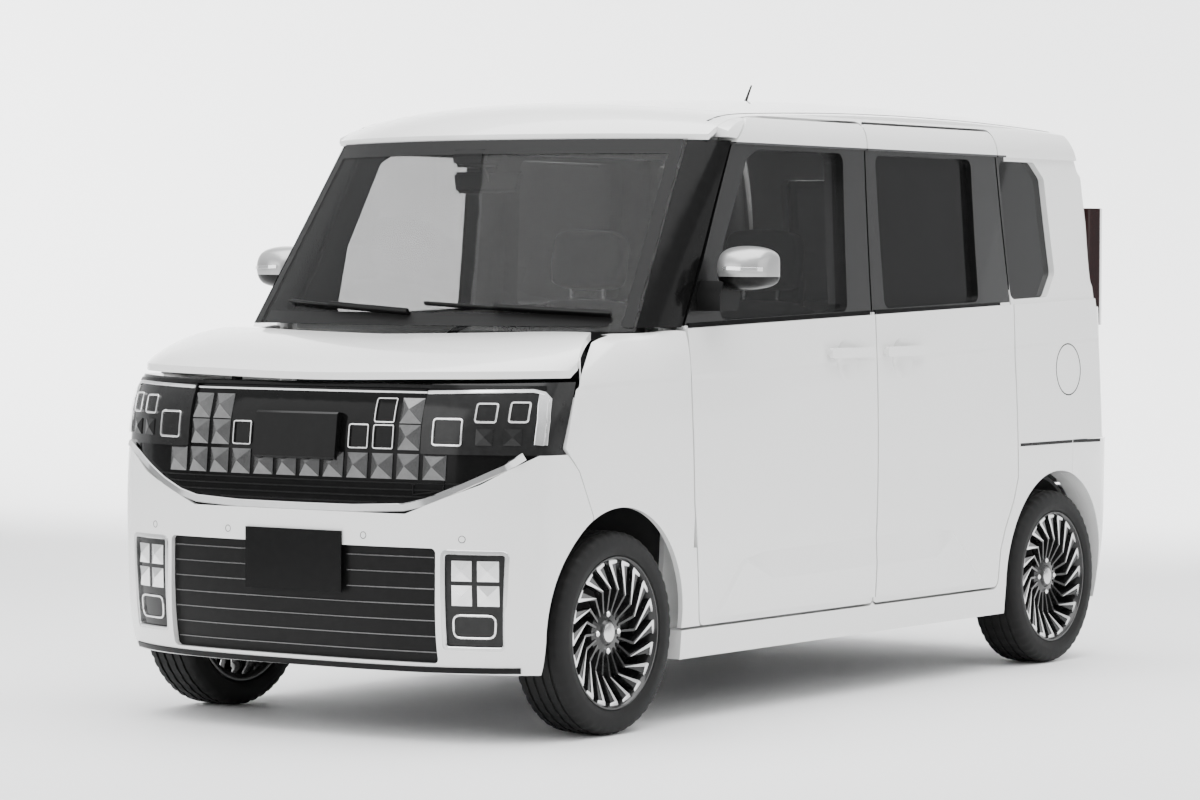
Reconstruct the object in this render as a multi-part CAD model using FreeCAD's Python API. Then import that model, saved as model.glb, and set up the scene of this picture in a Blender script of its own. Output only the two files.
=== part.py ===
import FreeCAD, Part
import math
import os

# A small tall wagon in the Japanese light class, in its own frame.
# Its front faces -Y, its left side is +X, Z points up and the floor is z = 0.

# Whole vehicle
LENGTH = 3395.0
WIDTH = 1475.0
HEIGHT = 1785.0
WHEELBASE = 2495.0
FRONT_OVERHANG = 492.5
TRACK = 1290.0
HALF_WIDTH = WIDTH / 2
NOSE_Y = -LENGTH / 2
TAIL_Y = LENGTH / 2
FRONT_AXLE_Y = NOSE_Y + FRONT_OVERHANG
REAR_AXLE_Y = FRONT_AXLE_Y + WHEELBASE
WHEEL_X = TRACK / 2

# Clearances and the overrun of cuts
OVERRUN = 30.0
SEAT_GAP = 0.3
DOOR_GAP = 7.5
MOVING_GAP = 8.0
PANEL_GAP = 3.0

# Levels of the side panels
SILL_Z = 180.0
DOOR_BOTTOM_Z = 268.0
LOWER_Z = 515.0
WIDEST_Z = 813.0
CREASE_Z = 1000.0
BELT_Z = 1125.0
PANE_MIDDLE_Z = 1337.0
WINDOW_TOP_Z = 1600.0
RAIL_Z = 1664.0
RAIL_BOTTOM_Z = 1612.0
SECTION_JOIN_Z = 1210.0
BELT_CUT_Z = 1060.0
RAIL_TOP_Z = 1690.0
SIDE_TOP_Z = 1722.0
BELT_RISE_SHARE = 0.0296

# Width of the body at each level, as a share of the half width
SECTION_SHARES = [
    (0.0, 0.955),
    (SILL_Z, 0.968),
    (DOOR_BOTTOM_Z, 0.979),
    (LOWER_Z, 0.9966),
    (WIDEST_Z, 1.0),
    (CREASE_Z, 0.9953),
    (BELT_Z, 0.984),
    (PANE_MIDDLE_Z, 0.964),
    (WINDOW_TOP_Z, 0.947),
    (RAIL_Z, 0.9355),
    (RAIL_TOP_Z, 0.905),
    (SIDE_TOP_Z, 0.855),
    (HEIGHT, 0.80),
]

# Stations of the side panels
B_GAP_Y = 150.0
FRONT_DOOR_LENGTH = 1005.0
SLIDE_DOOR_LENGTH = 866.0
DOOR_HEIGHT = RAIL_TOP_Z - DOOR_BOTTOM_Z
SLIDE_REAR_Y = B_GAP_Y + SLIDE_DOOR_LENGTH
PILLAR_FRONT_Y = B_GAP_Y - FRONT_DOOR_LENGTH - 28.0

# Thickness of the side panels, measured inward from the outer skin
DOOR_DEPTH = 66.0
WALL_DEPTH = 85.0
WINDOW_STEP = 12.0
RIM_INSET = 25.0
RIDGE_RISE = 8.0
RIDGE_BASE = [(-738.0, 286.0), (-591.0, 442.0), (-498.0, 493.0), (495.0, 510.0), (614.0, 462.0),
              (826.0, 286.0)]
RIDGE_TOP = [(-716.0, 286.0), (-578.0, 434.0), (-426.0, 377.0), (509.0, 385.0), (604.0, 452.0),
             (800.0, 286.0)]
GLASS = 4.5
GLASS_DEPTH = 20.0

# Door outlines, as shares of the door's length and height from the gap between the doors
FRONT_DOOR_SHARES = [
    (0.937, 0.0),
    (0.0, 0.0),
    (0.0, 1.0),
    (0.632, 1.0),
    (0.7284, 0.9423),
    (0.9015, 0.7117),
    (1.013, 0.585),
    (1.003, 0.5035),
    (0.987, 0.248),
]
SLIDE_DOOR_SHARES = [
    (0.0, 0.0),
    (0.882, 0.0),
    (0.889, 0.081),
    (0.917, 0.129),
    (0.972, 0.190),
    (1.0, 0.240),
    (0.978, 0.499),
    (0.985, 0.621),
    (0.918, 0.948),
    (0.90, 1.0),
    (0.0, 1.0),
]
DOOR_CORNER = 22.0

# Window outlines: share of the door's length, then share of the height from the belt to the window top
WINDOW_MARGIN = 15.0
FRONT_WINDOW_SHARES = [(0.833, 0.0), (0.138, 0.0), (0.125, 1.0), (0.592, 1.0), (0.652, 0.943),
                       (0.794, 0.427)]
SLIDE_WINDOW_SHARES = [(0.089, 0.0), (0.755, 0.0), (0.740, 1.0), (0.069, 1.0)]
QUARTER_LENGTH = 300.0
QUARTER_WINDOW_SHARES = [(-0.02, 0.0), (0.78, 0.0), (0.987, 0.17), (0.833, 0.88), (0.61, 1.0), (-0.16, 1.0)]
WINDOW_CORNER = 28.0

# Rear end: profile along the middle, and the rounding of the corner in plan
REAR_CROWN = 34.0
CORNER = 100.0
CORNER_SHARES = [(0.0, 5.0), (0.02, 2.0), (0.06, 1.0), (0.12, 0.55), (0.25, 0.28), (0.5, 0.16), (1.0, 0.10)]
BODY_REAR_SHARES = [
    (0.0, 0.968),
    (0.40, 0.980),
    (0.524, 0.974),
    (0.583, 0.972),
    (0.672, 0.966),
    (0.80, 0.952),
    (0.86, 0.938),
    (0.915, 0.915),
    (0.955, 0.893),
    (1.0, 0.86),
]
BUMPER_REAR_SHARES = [
    (0.0, 0.970),
    (0.105, 0.978),
    (0.145, 0.988),
    (0.28, 1.0),
    (0.40, 1.0),
    (0.44, 0.992),
    (0.60, 0.98),
]

# Front end: profile along the middle, and the plan curve as shares of the half width and the overhang
FRONT_PROFILE_SHARES = [
    (0.0, 0.980),
    (0.105, 0.985),
    (0.14, 0.9955),
    (0.224, 1.0),
    (0.308, 0.999),
    (0.392, 0.9965),
    (0.452, 0.991),
    (0.504, 0.980),
    (0.537, 0.960),
    (0.60, 0.930),
]
FRONT_PLAN_SHARES = [
    (0.0, 0.0),
    (0.316, 0.006),
    (0.54, 0.0366),
    (0.717, 0.0895),
    (0.868, 0.179),
    (0.947, 0.252),
    (0.9749, 0.29),
    (0.9935, 0.406),
    (1.0, 0.528),
]
FACE_BOTTOM_Z = 187.0
FACE_TOP_Z = 952.0
BUMPER_WALL = 42.0
BUMPER_SIDE_Y = FRONT_AXLE_Y - 130.0
BUMPER_TOP_Z = 785.0

# Fender and its gap to bumper and lamp, in the side view
FENDER_WALL = 15.0
FENDER_REAR_Y = B_GAP_Y - FRONT_DOOR_LENGTH + 80.0
FENDER_FRONT_Y = FRONT_AXLE_Y - 270.0
FENDER_LEAN_Z = 900.0
FENDER_TOP_SHARES = [
    (-1.0, 0.985, 0.62),
    (-0.74, 0.987, 0.70),
    (-0.37, 0.935, 1.30),
    (0.0, 0.876, 2.05),
    (0.27, 0.882, 2.13),
    (0.52, 0.910, 2.17),
    (0.77, 0.948, 2.19),
    (1.05, 0.9855, 2.21),
]
FENDER_REACH = 325.0
FENDER_RISE = 85.0
FENDER_LEAN_SHARES = [(0.0, 0.0), (0.4, 0.08), (0.75, 0.36), (1.0, 1.0)]

# Wheel arches
ARCH_HALF_LENGTH = 318.0
ARCH_HEIGHT = 345.0
ARCH_CENTRE_Z = 272.0

# Hood
HOOD_THICKNESS = 20.0
HOOD_CORNER = 12.0
HOOD_GAP = 5.0
HOOD_SWING_RADIUS = 79.0
HOOD_SWING_START_X = 556.0
HOOD_SWING_END_X = 655.0
HOOD_EDGE_Z = 978.0
HOOD_FRONT_Y = -1630.0
HOOD_LENGTH = 350.0
HOOD_RISE = 104.0
HOOD_RISE_SHARES = [(0.0, 0.0), (0.10, 0.20), (0.28, 0.45), (0.55, 0.72), (0.80, 0.89), (1.15, 1.04)]
HOOD_EDGE_SHARES = [
    (0.0, 0.0),
    (0.20, 0.008),
    (0.41, 0.035),
    (0.60, 0.075),
    (0.74, 0.145),
    (0.86, 0.26),
    (0.93, 0.37),
    (0.991, 0.63),
]
HOOD_HINGE_X = 590.0
HOOD_HINGE_Y = -1200.0
HOOD_HINGE_Z = 1015.0
HOOD_REAR_HALF = 640.0
HOOD_REAR_CORNER_Y = FRONT_AXLE_Y - 5.0
HOOD_REAR_MIDDLE_Y = FRONT_AXLE_Y - 95.0

# Windshield
SHIELD_BASE_Z = 1087.0
SHIELD_BASE_X = 671.0
SHIELD_BASE_Y = -1048.0
SHIELD_TOP_Z = 1634.0
SHIELD_END_Z = 1626.1
SHIELD_TOP_X = 606.0
SHIELD_TOP_Y = -687.0
SHIELD_SWEEP = 181.0
SHIELD_THICKNESS = 5.0

# Roof
ROOF_HALF = 655.0
SIDE_TOP_START_Y = -612.0
ROOF_THICKNESS = 16.0
ROOF_REAR_Y = 1486.0
ROOF_CREST_Y = 800.0
ROOF_FALL = 67.0
ROOF_EDGE_DROP = 58.0
ROOF_DROP_GROWTH = 12.0
ROOF_STATION_SHARES = [0.0, 0.012, 0.03, 0.06, 0.10, 0.16, 0.3, 0.5, 0.75, 1.0]
ROOF_CURL = 78.0
ROOF_EDGE_CURL = 48.0
ROOF_CURL_SHARE = 0.16

# Wheels
TYRE_RADIUS = 277.0
TYRE_WIDTH = 165.0
RIM_RADIUS = 207.0
BARREL_RADIUS = 184.0
BEAD_HEIGHT = 4.0
RIM_WIDTH = 140.0
BLADE_COUNT = 20
BLADE_KNEE = 118.0
BLADE_SWEEP = 1.15
BLADE_SHARES = [(-0.14, 0.0), (0.14, 0.0), (0.09, 0.55), (0.24, 1.0), (-0.24, 1.0), (-0.09, 0.55)]
HUB_RADIUS = 34.0

# Steering, strut and drum
PIVOT_LOW_X = 575.0
PIVOT_LOW_Z = 190.0
PIVOT_TOP_X = 478.0
PIVOT_TOP_Z = 800.0
STRUT_RADIUS = 20.0
ARM_BOTTOM_Z = 176.0
ARM_TOP_Z = 200.0
SPRING_RADIUS = 52.0
DISC_RADIUS = 118.0
SPINDLE_RADIUS = 14.0

# Floor and front frame
FLOOR_Z = 205.0
FLOOR_THICKNESS = 70.0
FLOOR_HALF = 640.0
FLOOR_STEP_Y = 1080.0
REAR_FLOOR_Z = 330.0
COWL_BOTTOM_Z = 1037.0
COWL_SHELF_HALF = 560.0
COWL_SHELF_Y = -1130.0
FLOOR_FRONT_Y = FRONT_AXLE_Y + 322.0
FLOOR_REAR_Y = 1520.0
WHEELHOUSE_RADIUS = 322.0
WHEELHOUSE_WALL = 12.0
WHEELHOUSE_X = 540.0
RAIL_INNER_X = 330.0
RAIL_OUTER_X = 396.0
FIREWALL = 14.0
EXHAUST_RADIUS = 60.0


def vec(x, y, z):
    return FreeCAD.Vector(x, y, z)


def between(table, position):
    """The value of a table of pairs at a position, on straight lines between its points."""
    if position <= table[0][0]:
        return table[0][1]
    for low, high in zip(table, table[1:]):
        if position <= high[0]:
            share = (position - low[0]) / (high[0] - low[0])
            return low[1] + share * (high[1] - low[1])
    return table[-1][1]


def curve(points):
    """A smooth edge through points."""
    spline = Part.BSplineCurve()
    spline.interpolate(points)
    return spline.toShape()


def line(start, end):
    return Part.makeLine(start, end)


def band(outer, inner):
    """A closed wire between an outer and an inner row of points."""
    edges = [curve(outer), line(outer[-1], inner[-1]), curve(inner[::-1]), line(inner[0], outer[0])]
    return Part.Wire(edges)


def loft(wires, ruled=False):
    return Part.makeLoft(wires, True, ruled)


def surface_through(rows):
    """A smooth face through rows of points."""
    return Part.makeLoft([Part.Wire([curve(row)]) for row in rows], False, False).Faces[0]


def rounded_face(points, radius, place):
    """A face with rounded corners; place turns a pair into a point in space."""
    corners = []
    count = len(points)
    for index in range(count):
        before = FreeCAD.Vector(points[index - 1][0], points[index - 1][1], 0)
        corner = FreeCAD.Vector(points[index][0], points[index][1], 0)
        after = FreeCAD.Vector(points[(index + 1) % count][0], points[(index + 1) % count][1], 0)
        back = before - corner
        ahead = after - corner
        room = min(back.Length, ahead.Length) * 0.45
        half_angle = back.getAngle(ahead) / 2
        back.normalize()
        ahead.normalize()
        cut = min(radius / math.tan(half_angle), room)
        arc_radius = cut * math.tan(half_angle)
        middle = back + ahead
        middle.normalize()
        centre = corner + middle * (arc_radius / math.sin(half_angle))
        corners.append((corner + back * cut, centre - middle * arc_radius, corner + ahead * cut))
    edges = []
    for index, (start, middle, end) in enumerate(corners):
        following = corners[(index + 1) % count][0]
        edges.append(Part.Arc(place(start), place(middle), place(end)).toShape())
        if (following - end).Length > SEAT_GAP:
            edges.append(line(place(end), place(following)))
    return Part.Face(Part.Wire(edges))


def prism_x(points, radius, start, end, grow=0.0):
    """A prism along X over an outline of (y, z) points."""
    face = rounded_face(points, radius, lambda p: vec(start, p.x, p.y))
    if grow:
        face = face.makeOffset2D(grow)
    return face.extrude(vec(end - start, 0, 0))


def prism_y(points, radius, start, end, grow=0.0):
    """A prism along Y over an outline of (x, z) points."""
    face = rounded_face(points, radius, lambda p: vec(p.x, start, p.y))
    if grow:
        face = face.makeOffset2D(grow)
    return face.extrude(vec(0, end - start, 0))


def prism_z(points, radius, start, end, grow=0.0):
    """A prism along Z over an outline of (x, y) points."""
    face = rounded_face(points, radius, lambda p: vec(p.x, p.y, start))
    if grow:
        face = face.makeOffset2D(grow)
    return face.extrude(vec(0, 0, end - start))


def box(low, high):
    return Part.makeBox(high[0] - low[0], high[1] - low[1], high[2] - low[2], vec(*low))


def cylinder_x(radius, start, end, y, z):
    return Part.makeCylinder(radius, end - start, vec(start, y, z), vec(1, 0, 0))


def rod(radius, start, end):
    direction = end - start
    return Part.makeCylinder(radius, direction.Length, start, direction)


def mirrored(shape):
    return shape.mirror(vec(0, 0, 0), vec(1, 0, 0))


def fused(shapes):
    result = shapes[0]
    if len(shapes) > 1:
        result = result.multiFuse(shapes[1:])
    return result.removeSplitter()


# Surfaces of the body

def side_x(z):
    return HALF_WIDTH * between(SECTION_SHARES, z)


def belt_z(y):
    return BELT_Z + (y - B_GAP_Y) * BELT_RISE_SHARE


def rear_y(z, shares):
    return TAIL_Y * between(shares, z / HEIGHT)


def front_y(z):
    return NOSE_Y * between(FRONT_PROFILE_SHARES, z / HEIGHT) + PLATE_THICKNESS + SEAT_GAP


def arc(first, middle, last):
    return Part.Arc(first, middle, last).toShape()


def section_edges(levels, inset, y):
    """Arcs up the side section; levels are (z, middle z, z) triples with their own inset."""
    edges = []
    last = None
    for low, middle, high, step in levels:
        ends = [vec(side_x(z) - inset - step, y, z) for z in (low, middle, high)]
        if last is not None and (ends[0] - last).Length > SEAT_GAP:
            edges.append(line(last, ends[0]))
        edges.append(arc(*ends))
        last = ends[-1]
    return edges


LOW_SECTION = [(SILL_Z, 347.0, LOWER_Z, 0.0), (LOWER_Z, WIDEST_Z, SECTION_JOIN_Z, 0.0)]
HIGH_SECTION = [(BELT_CUT_Z, PANE_MIDDLE_Z, RAIL_BOTTOM_Z, WINDOW_STEP),
                (RAIL_BOTTOM_Z, RAIL_Z, SIDE_TOP_Z, 3.0)]


def side_slab(section, outer, inner, front, rear):
    """A curved slab along one side of the body, between two depths behind the outer surface."""
    outside = section_edges(section, outer, front)
    inside = section_edges(section, inner, front)
    start = outside[0].firstVertex().Point
    end = outside[-1].lastVertex().Point
    inner_start = inside[0].firstVertex().Point
    inner_end = inside[-1].lastVertex().Point
    wire = Part.Wire(Part.__sortEdges__(outside + inside + [line(start, inner_start), line(end, inner_end)]))
    return Part.Face(wire).extrude(vec(0, rear - front, 0))


def side_face(points, radius, grow=0.0):
    face = rounded_face(points, radius, lambda p: vec(X_IN, p.x, p.y))
    if grow:
        face = face.makeOffset2D(grow)
    return face


def split_at_belt(face):
    """The parts of a side view face below and above the belt line."""
    front = NOSE_Y * 2
    rear = TAIL_Y * 2
    low = [(front, -HEIGHT), (rear, -HEIGHT), (rear, belt_z(rear)), (front, belt_z(front))]
    high = [(front, belt_z(front)), (rear, belt_z(rear)), (rear, HEIGHT * 2), (front, HEIGHT * 2)]
    below = face.common(Part.Face(Part.makePolygon([vec(X_IN, y, z) for y, z in low + low[:1]])))
    above = face.common(Part.Face(Part.makePolygon([vec(X_IN, y, z) for y, z in high + high[:1]])))
    return below, above


def side_piece(face, outer, inner, front, rear):
    """A piece of the side between two depths, cut to a side view face, stepped in above the belt."""
    below, above = split_at_belt(face)
    reach = vec(X_OUT - X_IN, 0, 0)
    pieces = []
    for part_face, section in ((below, LOW_SECTION), (above, HIGH_SECTION)):
        if part_face.Faces:
            slab = side_slab(section, outer, inner, front, rear)
            for one in part_face.Faces:
                pieces.append(slab.common(one.extrude(reach)))
    return fused(pieces)


def front_row(z, inset, side_y):
    """Points round the nose at one level, from the left side to the right."""
    half = side_x(z) - inset
    nose = front_y(z) + inset
    left = [vec(half, side_y, z)]
    for x_share, y_share in FRONT_PLAN_SHARES[:0:-1]:
        left.append(vec(half * x_share, nose + (FRONT_OVERHANG - inset) * y_share, z))
    right = [vec(-p.x, p.y, p.z) for p in left[::-1]]
    return left + [vec(0, nose, z)] + right


def front_slab(levels, outer, inner, side_y):
    return loft([band(front_row(z, outer, side_y), front_row(z, inner, side_y)) for z in levels])


def arch_face(axle_y, x):
    """The opening of one wheel arch in the side view, open below."""
    half = ARCH_HALF_LENGTH
    top = arc(vec(x, axle_y - half, ARCH_CENTRE_Z), vec(x, axle_y, ARCH_CENTRE_Z + ARCH_HEIGHT),
              vec(x, axle_y + half, ARCH_CENTRE_Z))
    sides = Part.makePolygon([vec(x, axle_y + half, ARCH_CENTRE_Z), vec(x, axle_y + half, -OVERRUN),
                              vec(x, axle_y - half, -OVERRUN), vec(x, axle_y - half, ARCH_CENTRE_Z)])
    return Part.Face(Part.Wire([top] + sides.Edges))


def arch(axle_y, start, end):
    return arch_face(axle_y, start).extrude(vec(end - start, 0, 0))


# Outlines in the side view

def front_door_points():
    return [(B_GAP_Y - FRONT_DOOR_LENGTH * a, DOOR_BOTTOM_Z + DOOR_HEIGHT * b) for a, b in FRONT_DOOR_SHARES]


def slide_door_points():
    return [(B_GAP_Y + SLIDE_DOOR_LENGTH * a, DOOR_BOTTOM_Z + DOOR_HEIGHT * b) for a, b in SLIDE_DOOR_SHARES]


def window_points(shares, origin, length):
    points = []
    for a, b in shares:
        y = origin + length * a
        low = belt_z(y) + WINDOW_MARGIN
        points.append((y, low + (WINDOW_TOP_Z - low) * b))
    return points


def front_window_points():
    return window_points(FRONT_WINDOW_SHARES, B_GAP_Y, -FRONT_DOOR_LENGTH)


def slide_window_points():
    return window_points(SLIDE_WINDOW_SHARES, B_GAP_Y, SLIDE_DOOR_LENGTH)


def quarter_window_points():
    return window_points(QUARTER_WINDOW_SHARES, SLIDE_REAR_Y, QUARTER_LENGTH)


X_IN = HALF_WIDTH - WALL_DEPTH * 2.2
X_OUT = HALF_WIDTH + OVERRUN


# Roof

def roof_edge_y(x):
    return SHIELD_TOP_Y - SHIELD_SWEEP + SHIELD_SWEEP * (x / SHIELD_TOP_X) ** 2


def roof_z(x, y, back):
    reach = (y - ROOF_CREST_Y) / (SHIELD_TOP_Y - SHIELD_SWEEP - ROOF_CREST_Y)
    middle = HEIGHT - ROOF_FALL * reach ** 2
    bow = (x / ROOF_HALF) ** 2
    drop = ROOF_EDGE_DROP + ROOF_DROP_GROWTH * y / ROOF_CREST_Y
    curl = ROOF_CURL + (ROOF_EDGE_CURL - ROOF_CURL) * bow
    return middle - drop * bow - curl * max(1 - back / ROOF_CURL_SHARE, 0) ** 4


def roof_slab(top, bottom, half, overhang=0.0):
    """The roof between two heights above its outer surface."""
    wires = []
    for share in (-1.0, -0.8, -0.5, 0.0, 0.5, 0.8, 1.0):
        x = half * share
        front = roof_edge_y(x)
        rear = ROOF_REAR_Y + overhang - REAR_CROWN * share ** 2
        row = []
        for back in ROOF_STATION_SHARES:
            y = front + (rear - front) * back
            row.append(vec(x, y, roof_z(x, y, back)))
        wires.append(band([p + vec(0, 0, top) for p in row], [p + vec(0, 0, bottom) for p in row]))
    return loft(wires)


def make_header():
    """The beam under the rear edge of the roof that carries the tailgate."""
    levels = [HEADER_BOTTOM_Z, HEIGHT]
    near = [vec(HEADER_HALF * share, HEADER_Y - REAR_CROWN * share ** 2, 0)
            for share in (-1.0, -0.5, 0.0, 0.5, 1.0)]
    wire = band(near, [p - vec(0, HEADER_DEPTH, 0) for p in near])
    wire.translate(vec(0, 0, levels[0]))
    header = Part.Face(wire).extrude(vec(0, 0, levels[1] - levels[0])).cut(
        roof_slab(ROOF_THICKNESS * 12, -SEAT_GAP, ROOF_HALF))
    return header.cut(box((-GATE_SWING_HALF, GATE_SWING_Y, GATE_SWING_Z), (GATE_SWING_HALF, LENGTH, HEIGHT)))


def make_roof():
    roof = roof_slab(0, -ROOF_THICKNESS, ROOF_HALF).fuse(make_header())
    for side in (1, -1):
        room = gate_barrel(side * GATE_HINGE_X, GATE_HINGE_REACH, HINGE_BARREL + DOOR_GAP)
        roof = roof.cut(room)
        roof = roof.fuse(gate_barrel(side * (GATE_HINGE_X + GATE_HINGE_REACH), GATE_HINGE_REACH,
                                     HINGE_BARREL))
        near = GATE_HINGE_X + GATE_HINGE_REACH / 2
        arm = box((near, HEADER_Y - HEADER_DEPTH / 2, GATE_HINGE_Z - HINGE_BARREL),
                  (near + GATE_HINGE_REACH, GATE_HINGE_Y, GATE_HINGE_Z + HINGE_PIN))
        roof = roof.fuse(arm if side > 0 else mirrored(arm))
        roof = roof.fuse(gate_barrel(side * (GATE_HINGE_X + GATE_HINGE_REACH / 2), GATE_HINGE_REACH,
                                     HINGE_PIN))
    return roof.removeSplitter()


def above_roof(gap):
    """What lies above the roof's underside less a gap, to cut the pieces below it."""
    within = roof_slab(ROOF_THICKNESS * 12, -ROOF_THICKNESS - gap, ROOF_HALF + gap, gap)
    return within.fuse(roof_slab(ROOF_THICKNESS * 12, 0, HALF_WIDTH, CORNER))


def under_roof_edge(gap):
    """The room of the roof's edge and its gap, over the door frames."""
    points = []
    front = roof_edge_y(ROOF_HALF)
    rear = ROOF_REAR_Y - REAR_CROWN
    for back in ROOF_STATION_SHARES:
        y = front + (rear - front) * back
        points.append((y, roof_z(ROOF_HALF, y, back) - ROOF_THICKNESS - gap))
    points += [(rear, HEIGHT), (front, HEIGHT)]
    return prism_x(points, SEAT_GAP, X_IN, ROOF_HALF + gap)


# Hinges

HINGE_PIN = 4.0
HINGE_BARREL = 9.0
GATE_HINGE_X = 300.0
GATE_HINGE_REACH = 24.0
GATE_HINGE_Y = 1476.0
GATE_HINGE_Z = 1716.0
HEADER_Y = 1470.0
HEADER_DEPTH = 44.0
HEADER_BOTTOM_Z = 1668.0
HEADER_HALF = 536.0
GATE_SWING_HALF = 285.0
GATE_SWING_Y = 1446.0
GATE_SWING_Z = 1706.0


def gate_barrel(x, length, radius):
    """A cylinder on the tailgate's hinge line, its middle at x."""
    return cylinder_x(radius, x - length / 2, x + length / 2, GATE_HINGE_Y, GATE_HINGE_Z)


# Doors

HANDLE_Z = 1000.0
HANDLE_HEIGHT = 30.0
HANDLE_HALF = 118.0
HANDLE_SINK = 8.0
HANDLE_STAND = 10.0
HANDLE_THICKNESS = 12.0
HANDLE_FOOT = 30.0
CUP_RADIUS = 70.0
CUP_DEPTH = 16.0
FRONT_CUP_Y = -22.0
SLIDE_CUP_Y = 298.0


def pane(points):
    """A pane that fills a window opening."""
    ys = [p[0] for p in points]
    slab = side_slab(HIGH_SECTION, GLASS_DEPTH, GLASS_DEPTH + GLASS, min(ys) - OVERRUN, max(ys) + OVERRUN)
    return slab.common(prism_x(points, WINDOW_CORNER, X_IN, X_OUT, -SEAT_GAP))


def make_door(outline, window, depth, low_y, high_y, roof_cut):
    face = side_face(outline, DOOR_CORNER)
    span = Part.Face(Part.makePolygon([vec(X_IN, low_y, 0), vec(X_IN, high_y, 0), vec(X_IN, high_y, HEIGHT),
                                       vec(X_IN, low_y, HEIGHT), vec(X_IN, low_y, 0)]))
    face = face.common(span).cut(side_face(window, WINDOW_CORNER))
    ys = [p[0] for p in outline]
    panel = door_ridge().common(
        side_face(outline, DOOR_CORNER).common(span).extrude(vec(X_OUT - X_IN, 0, 0)))
    door = side_piece(face, 0, depth, min(ys) - OVERRUN, max(ys) + OVERRUN)
    return door.fuse(panel).cut(roof_cut)


def door_pin(z, length, radius):
    """A cylinder on the front door's hinge line, its middle at one level."""
    return Part.makeCylinder(radius, length, vec(DOOR_HINGE_X, DOOR_HINGE_Y, z - length / 2), vec(0, 0, 1))


def door_ridge():
    """The raised lower panel of the doors, with the facet along its upper edge."""
    wires = []
    for outline, rise in ((RIDGE_BASE, -PANEL_GAP), (RIDGE_TOP, RIDGE_RISE)):
        points = [vec(side_x(z) + rise, y, z) for y, z in outline]
        wires.append(Part.makePolygon(points + points[:1]))
    return loft(wires, True)


def make_front_door(roof_cut):
    points = front_door_points()
    door = make_door(points, front_window_points(), DOOR_DEPTH, NOSE_Y, B_GAP_Y - DOOR_GAP / 2, roof_cut)
    edge = DOOR_HINGE_Y + HINGE_ROOM
    door = door.cut(box((X_IN, NOSE_Y, 0), (DOOR_HINGE_X - DOOR_EDGE_DEPTH, edge, PILLAR_BOTTOM_Z)))
    for z in DOOR_HINGE_LEVELS:
        door = door.cut(box((X_IN, NOSE_Y, z - HINGE_ROOM),
                            (DOOR_HINGE_X + DOOR_PIN + SEAT_GAP, edge, z + HINGE_ROOM)))
        door = door.cut(door_pin(z, HINGE_ROOM * 3, DOOR_PIN + SEAT_GAP))
    door = door.cut(handle_cup(FRONT_CUP_Y, HANDLE_Z))
    return door.fuse(handle_bar((FRONT_CUP_Y - HANDLE_HALF, HANDLE_Z),
                                (FRONT_CUP_Y + HANDLE_HALF, HANDLE_Z + HANDLE_HEIGHT)))


def door_hinge_arms():
    """The arms on the front door post with their upright pins."""
    pieces = []
    half = HINGE_ROOM - DOOR_GAP
    for z in DOOR_HINGE_LEVELS:
        inner_x = side_x(z) - FLANGE_END
        pieces.append(box((inner_x, DOOR_HINGE_Y - half, z - half),
                          (DOOR_HINGE_X - HINGE_TIP, DOOR_HINGE_Y + half, z + half)))
        pieces.append(box((inner_x, DOOR_HINGE_Y - DOOR_PIN, z - half),
                          (DOOR_HINGE_X, DOOR_HINGE_Y + half, z + half)))
        pieces.append(door_pin(z, HINGE_ROOM * 3 - SEAT_GAP, DOOR_PIN))
    return pieces


def handle_bar(low, high):
    """A pull bar on two short feet, between two places in the side view."""
    middle_z = (low[1] + high[1]) / 2
    inner = side_x(middle_z) - HANDLE_SINK
    outer = side_x(middle_z) + HANDLE_STAND
    bar = prism_x([(low[0], low[1]), (high[0], low[1]), (high[0], high[1]), (low[0], high[1])], HANDLE_SINK,
                  outer,
                  outer + HANDLE_THICKNESS)
    feet = []
    for start in (low[0] + HANDLE_SINK, high[0] - HANDLE_SINK - HANDLE_FOOT):
        feet.append(box((inner, start, low[1] + HANDLE_SINK),
                        (outer + HANDLE_SINK, start + HANDLE_FOOT, high[1] - HANDLE_SINK)))
    return bar.multiFuse(feet)


def handle_cup(middle_y, z):
    """The finger room behind a handle: a shallow ball cut into the skin."""
    radius = CUP_RADIUS * 2
    return Part.makeSphere(radius, vec(side_x(z) + radius - CUP_DEPTH, middle_y, z))


def make_slide_door(roof_cut):
    door = make_door(slide_door_points(), slide_window_points(), FLANGE_START - SEAT_GAP,
                     B_GAP_Y + DOOR_GAP / 2, TAIL_Y,
                     roof_cut)
    door = door.cut(handle_cup(SLIDE_CUP_Y, HANDLE_Z))
    return door.fuse(handle_bar((SLIDE_CUP_Y - HANDLE_HALF, HANDLE_Z),
                                (SLIDE_CUP_Y + HANDLE_HALF, HANDLE_Z + HANDLE_HEIGHT)))


# Body side

DOOR_HINGE_X = 728.0
DOOR_PIN = 3.0
DOOR_HINGE_Y = -832.0
DOOR_HINGE_LEVELS = [690.0, 960.0]
DOOR_EDGE_DEPTH = 40.0
HINGE_ROOM = 16.0
HINGE_TIP = 15.0
DOOR_SWING_RADIUS = 14.0
DOOR_SWING_LEVELS = [488.0, 568.0]
TAILGATE_HALF = 590.0
SIDE_START_Y = PILLAR_FRONT_Y
FLANGE_START = 72.0
FLANGE_END = 88.0
REAR_WALL = 60.0
PILLAR_FLANGE = 45.0
CORNER_RADIUS = 52.0
REAR_ARCS = [
    (714.0, 1664.0),
    (930.0, 1656.0),
    (1140.0, 1648.0),
    (1370.0, 1626.0),
    (1560.0, 1588.0),
    (1650.0, 1552.0),
    (1742.0, 1494.0),
]


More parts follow.
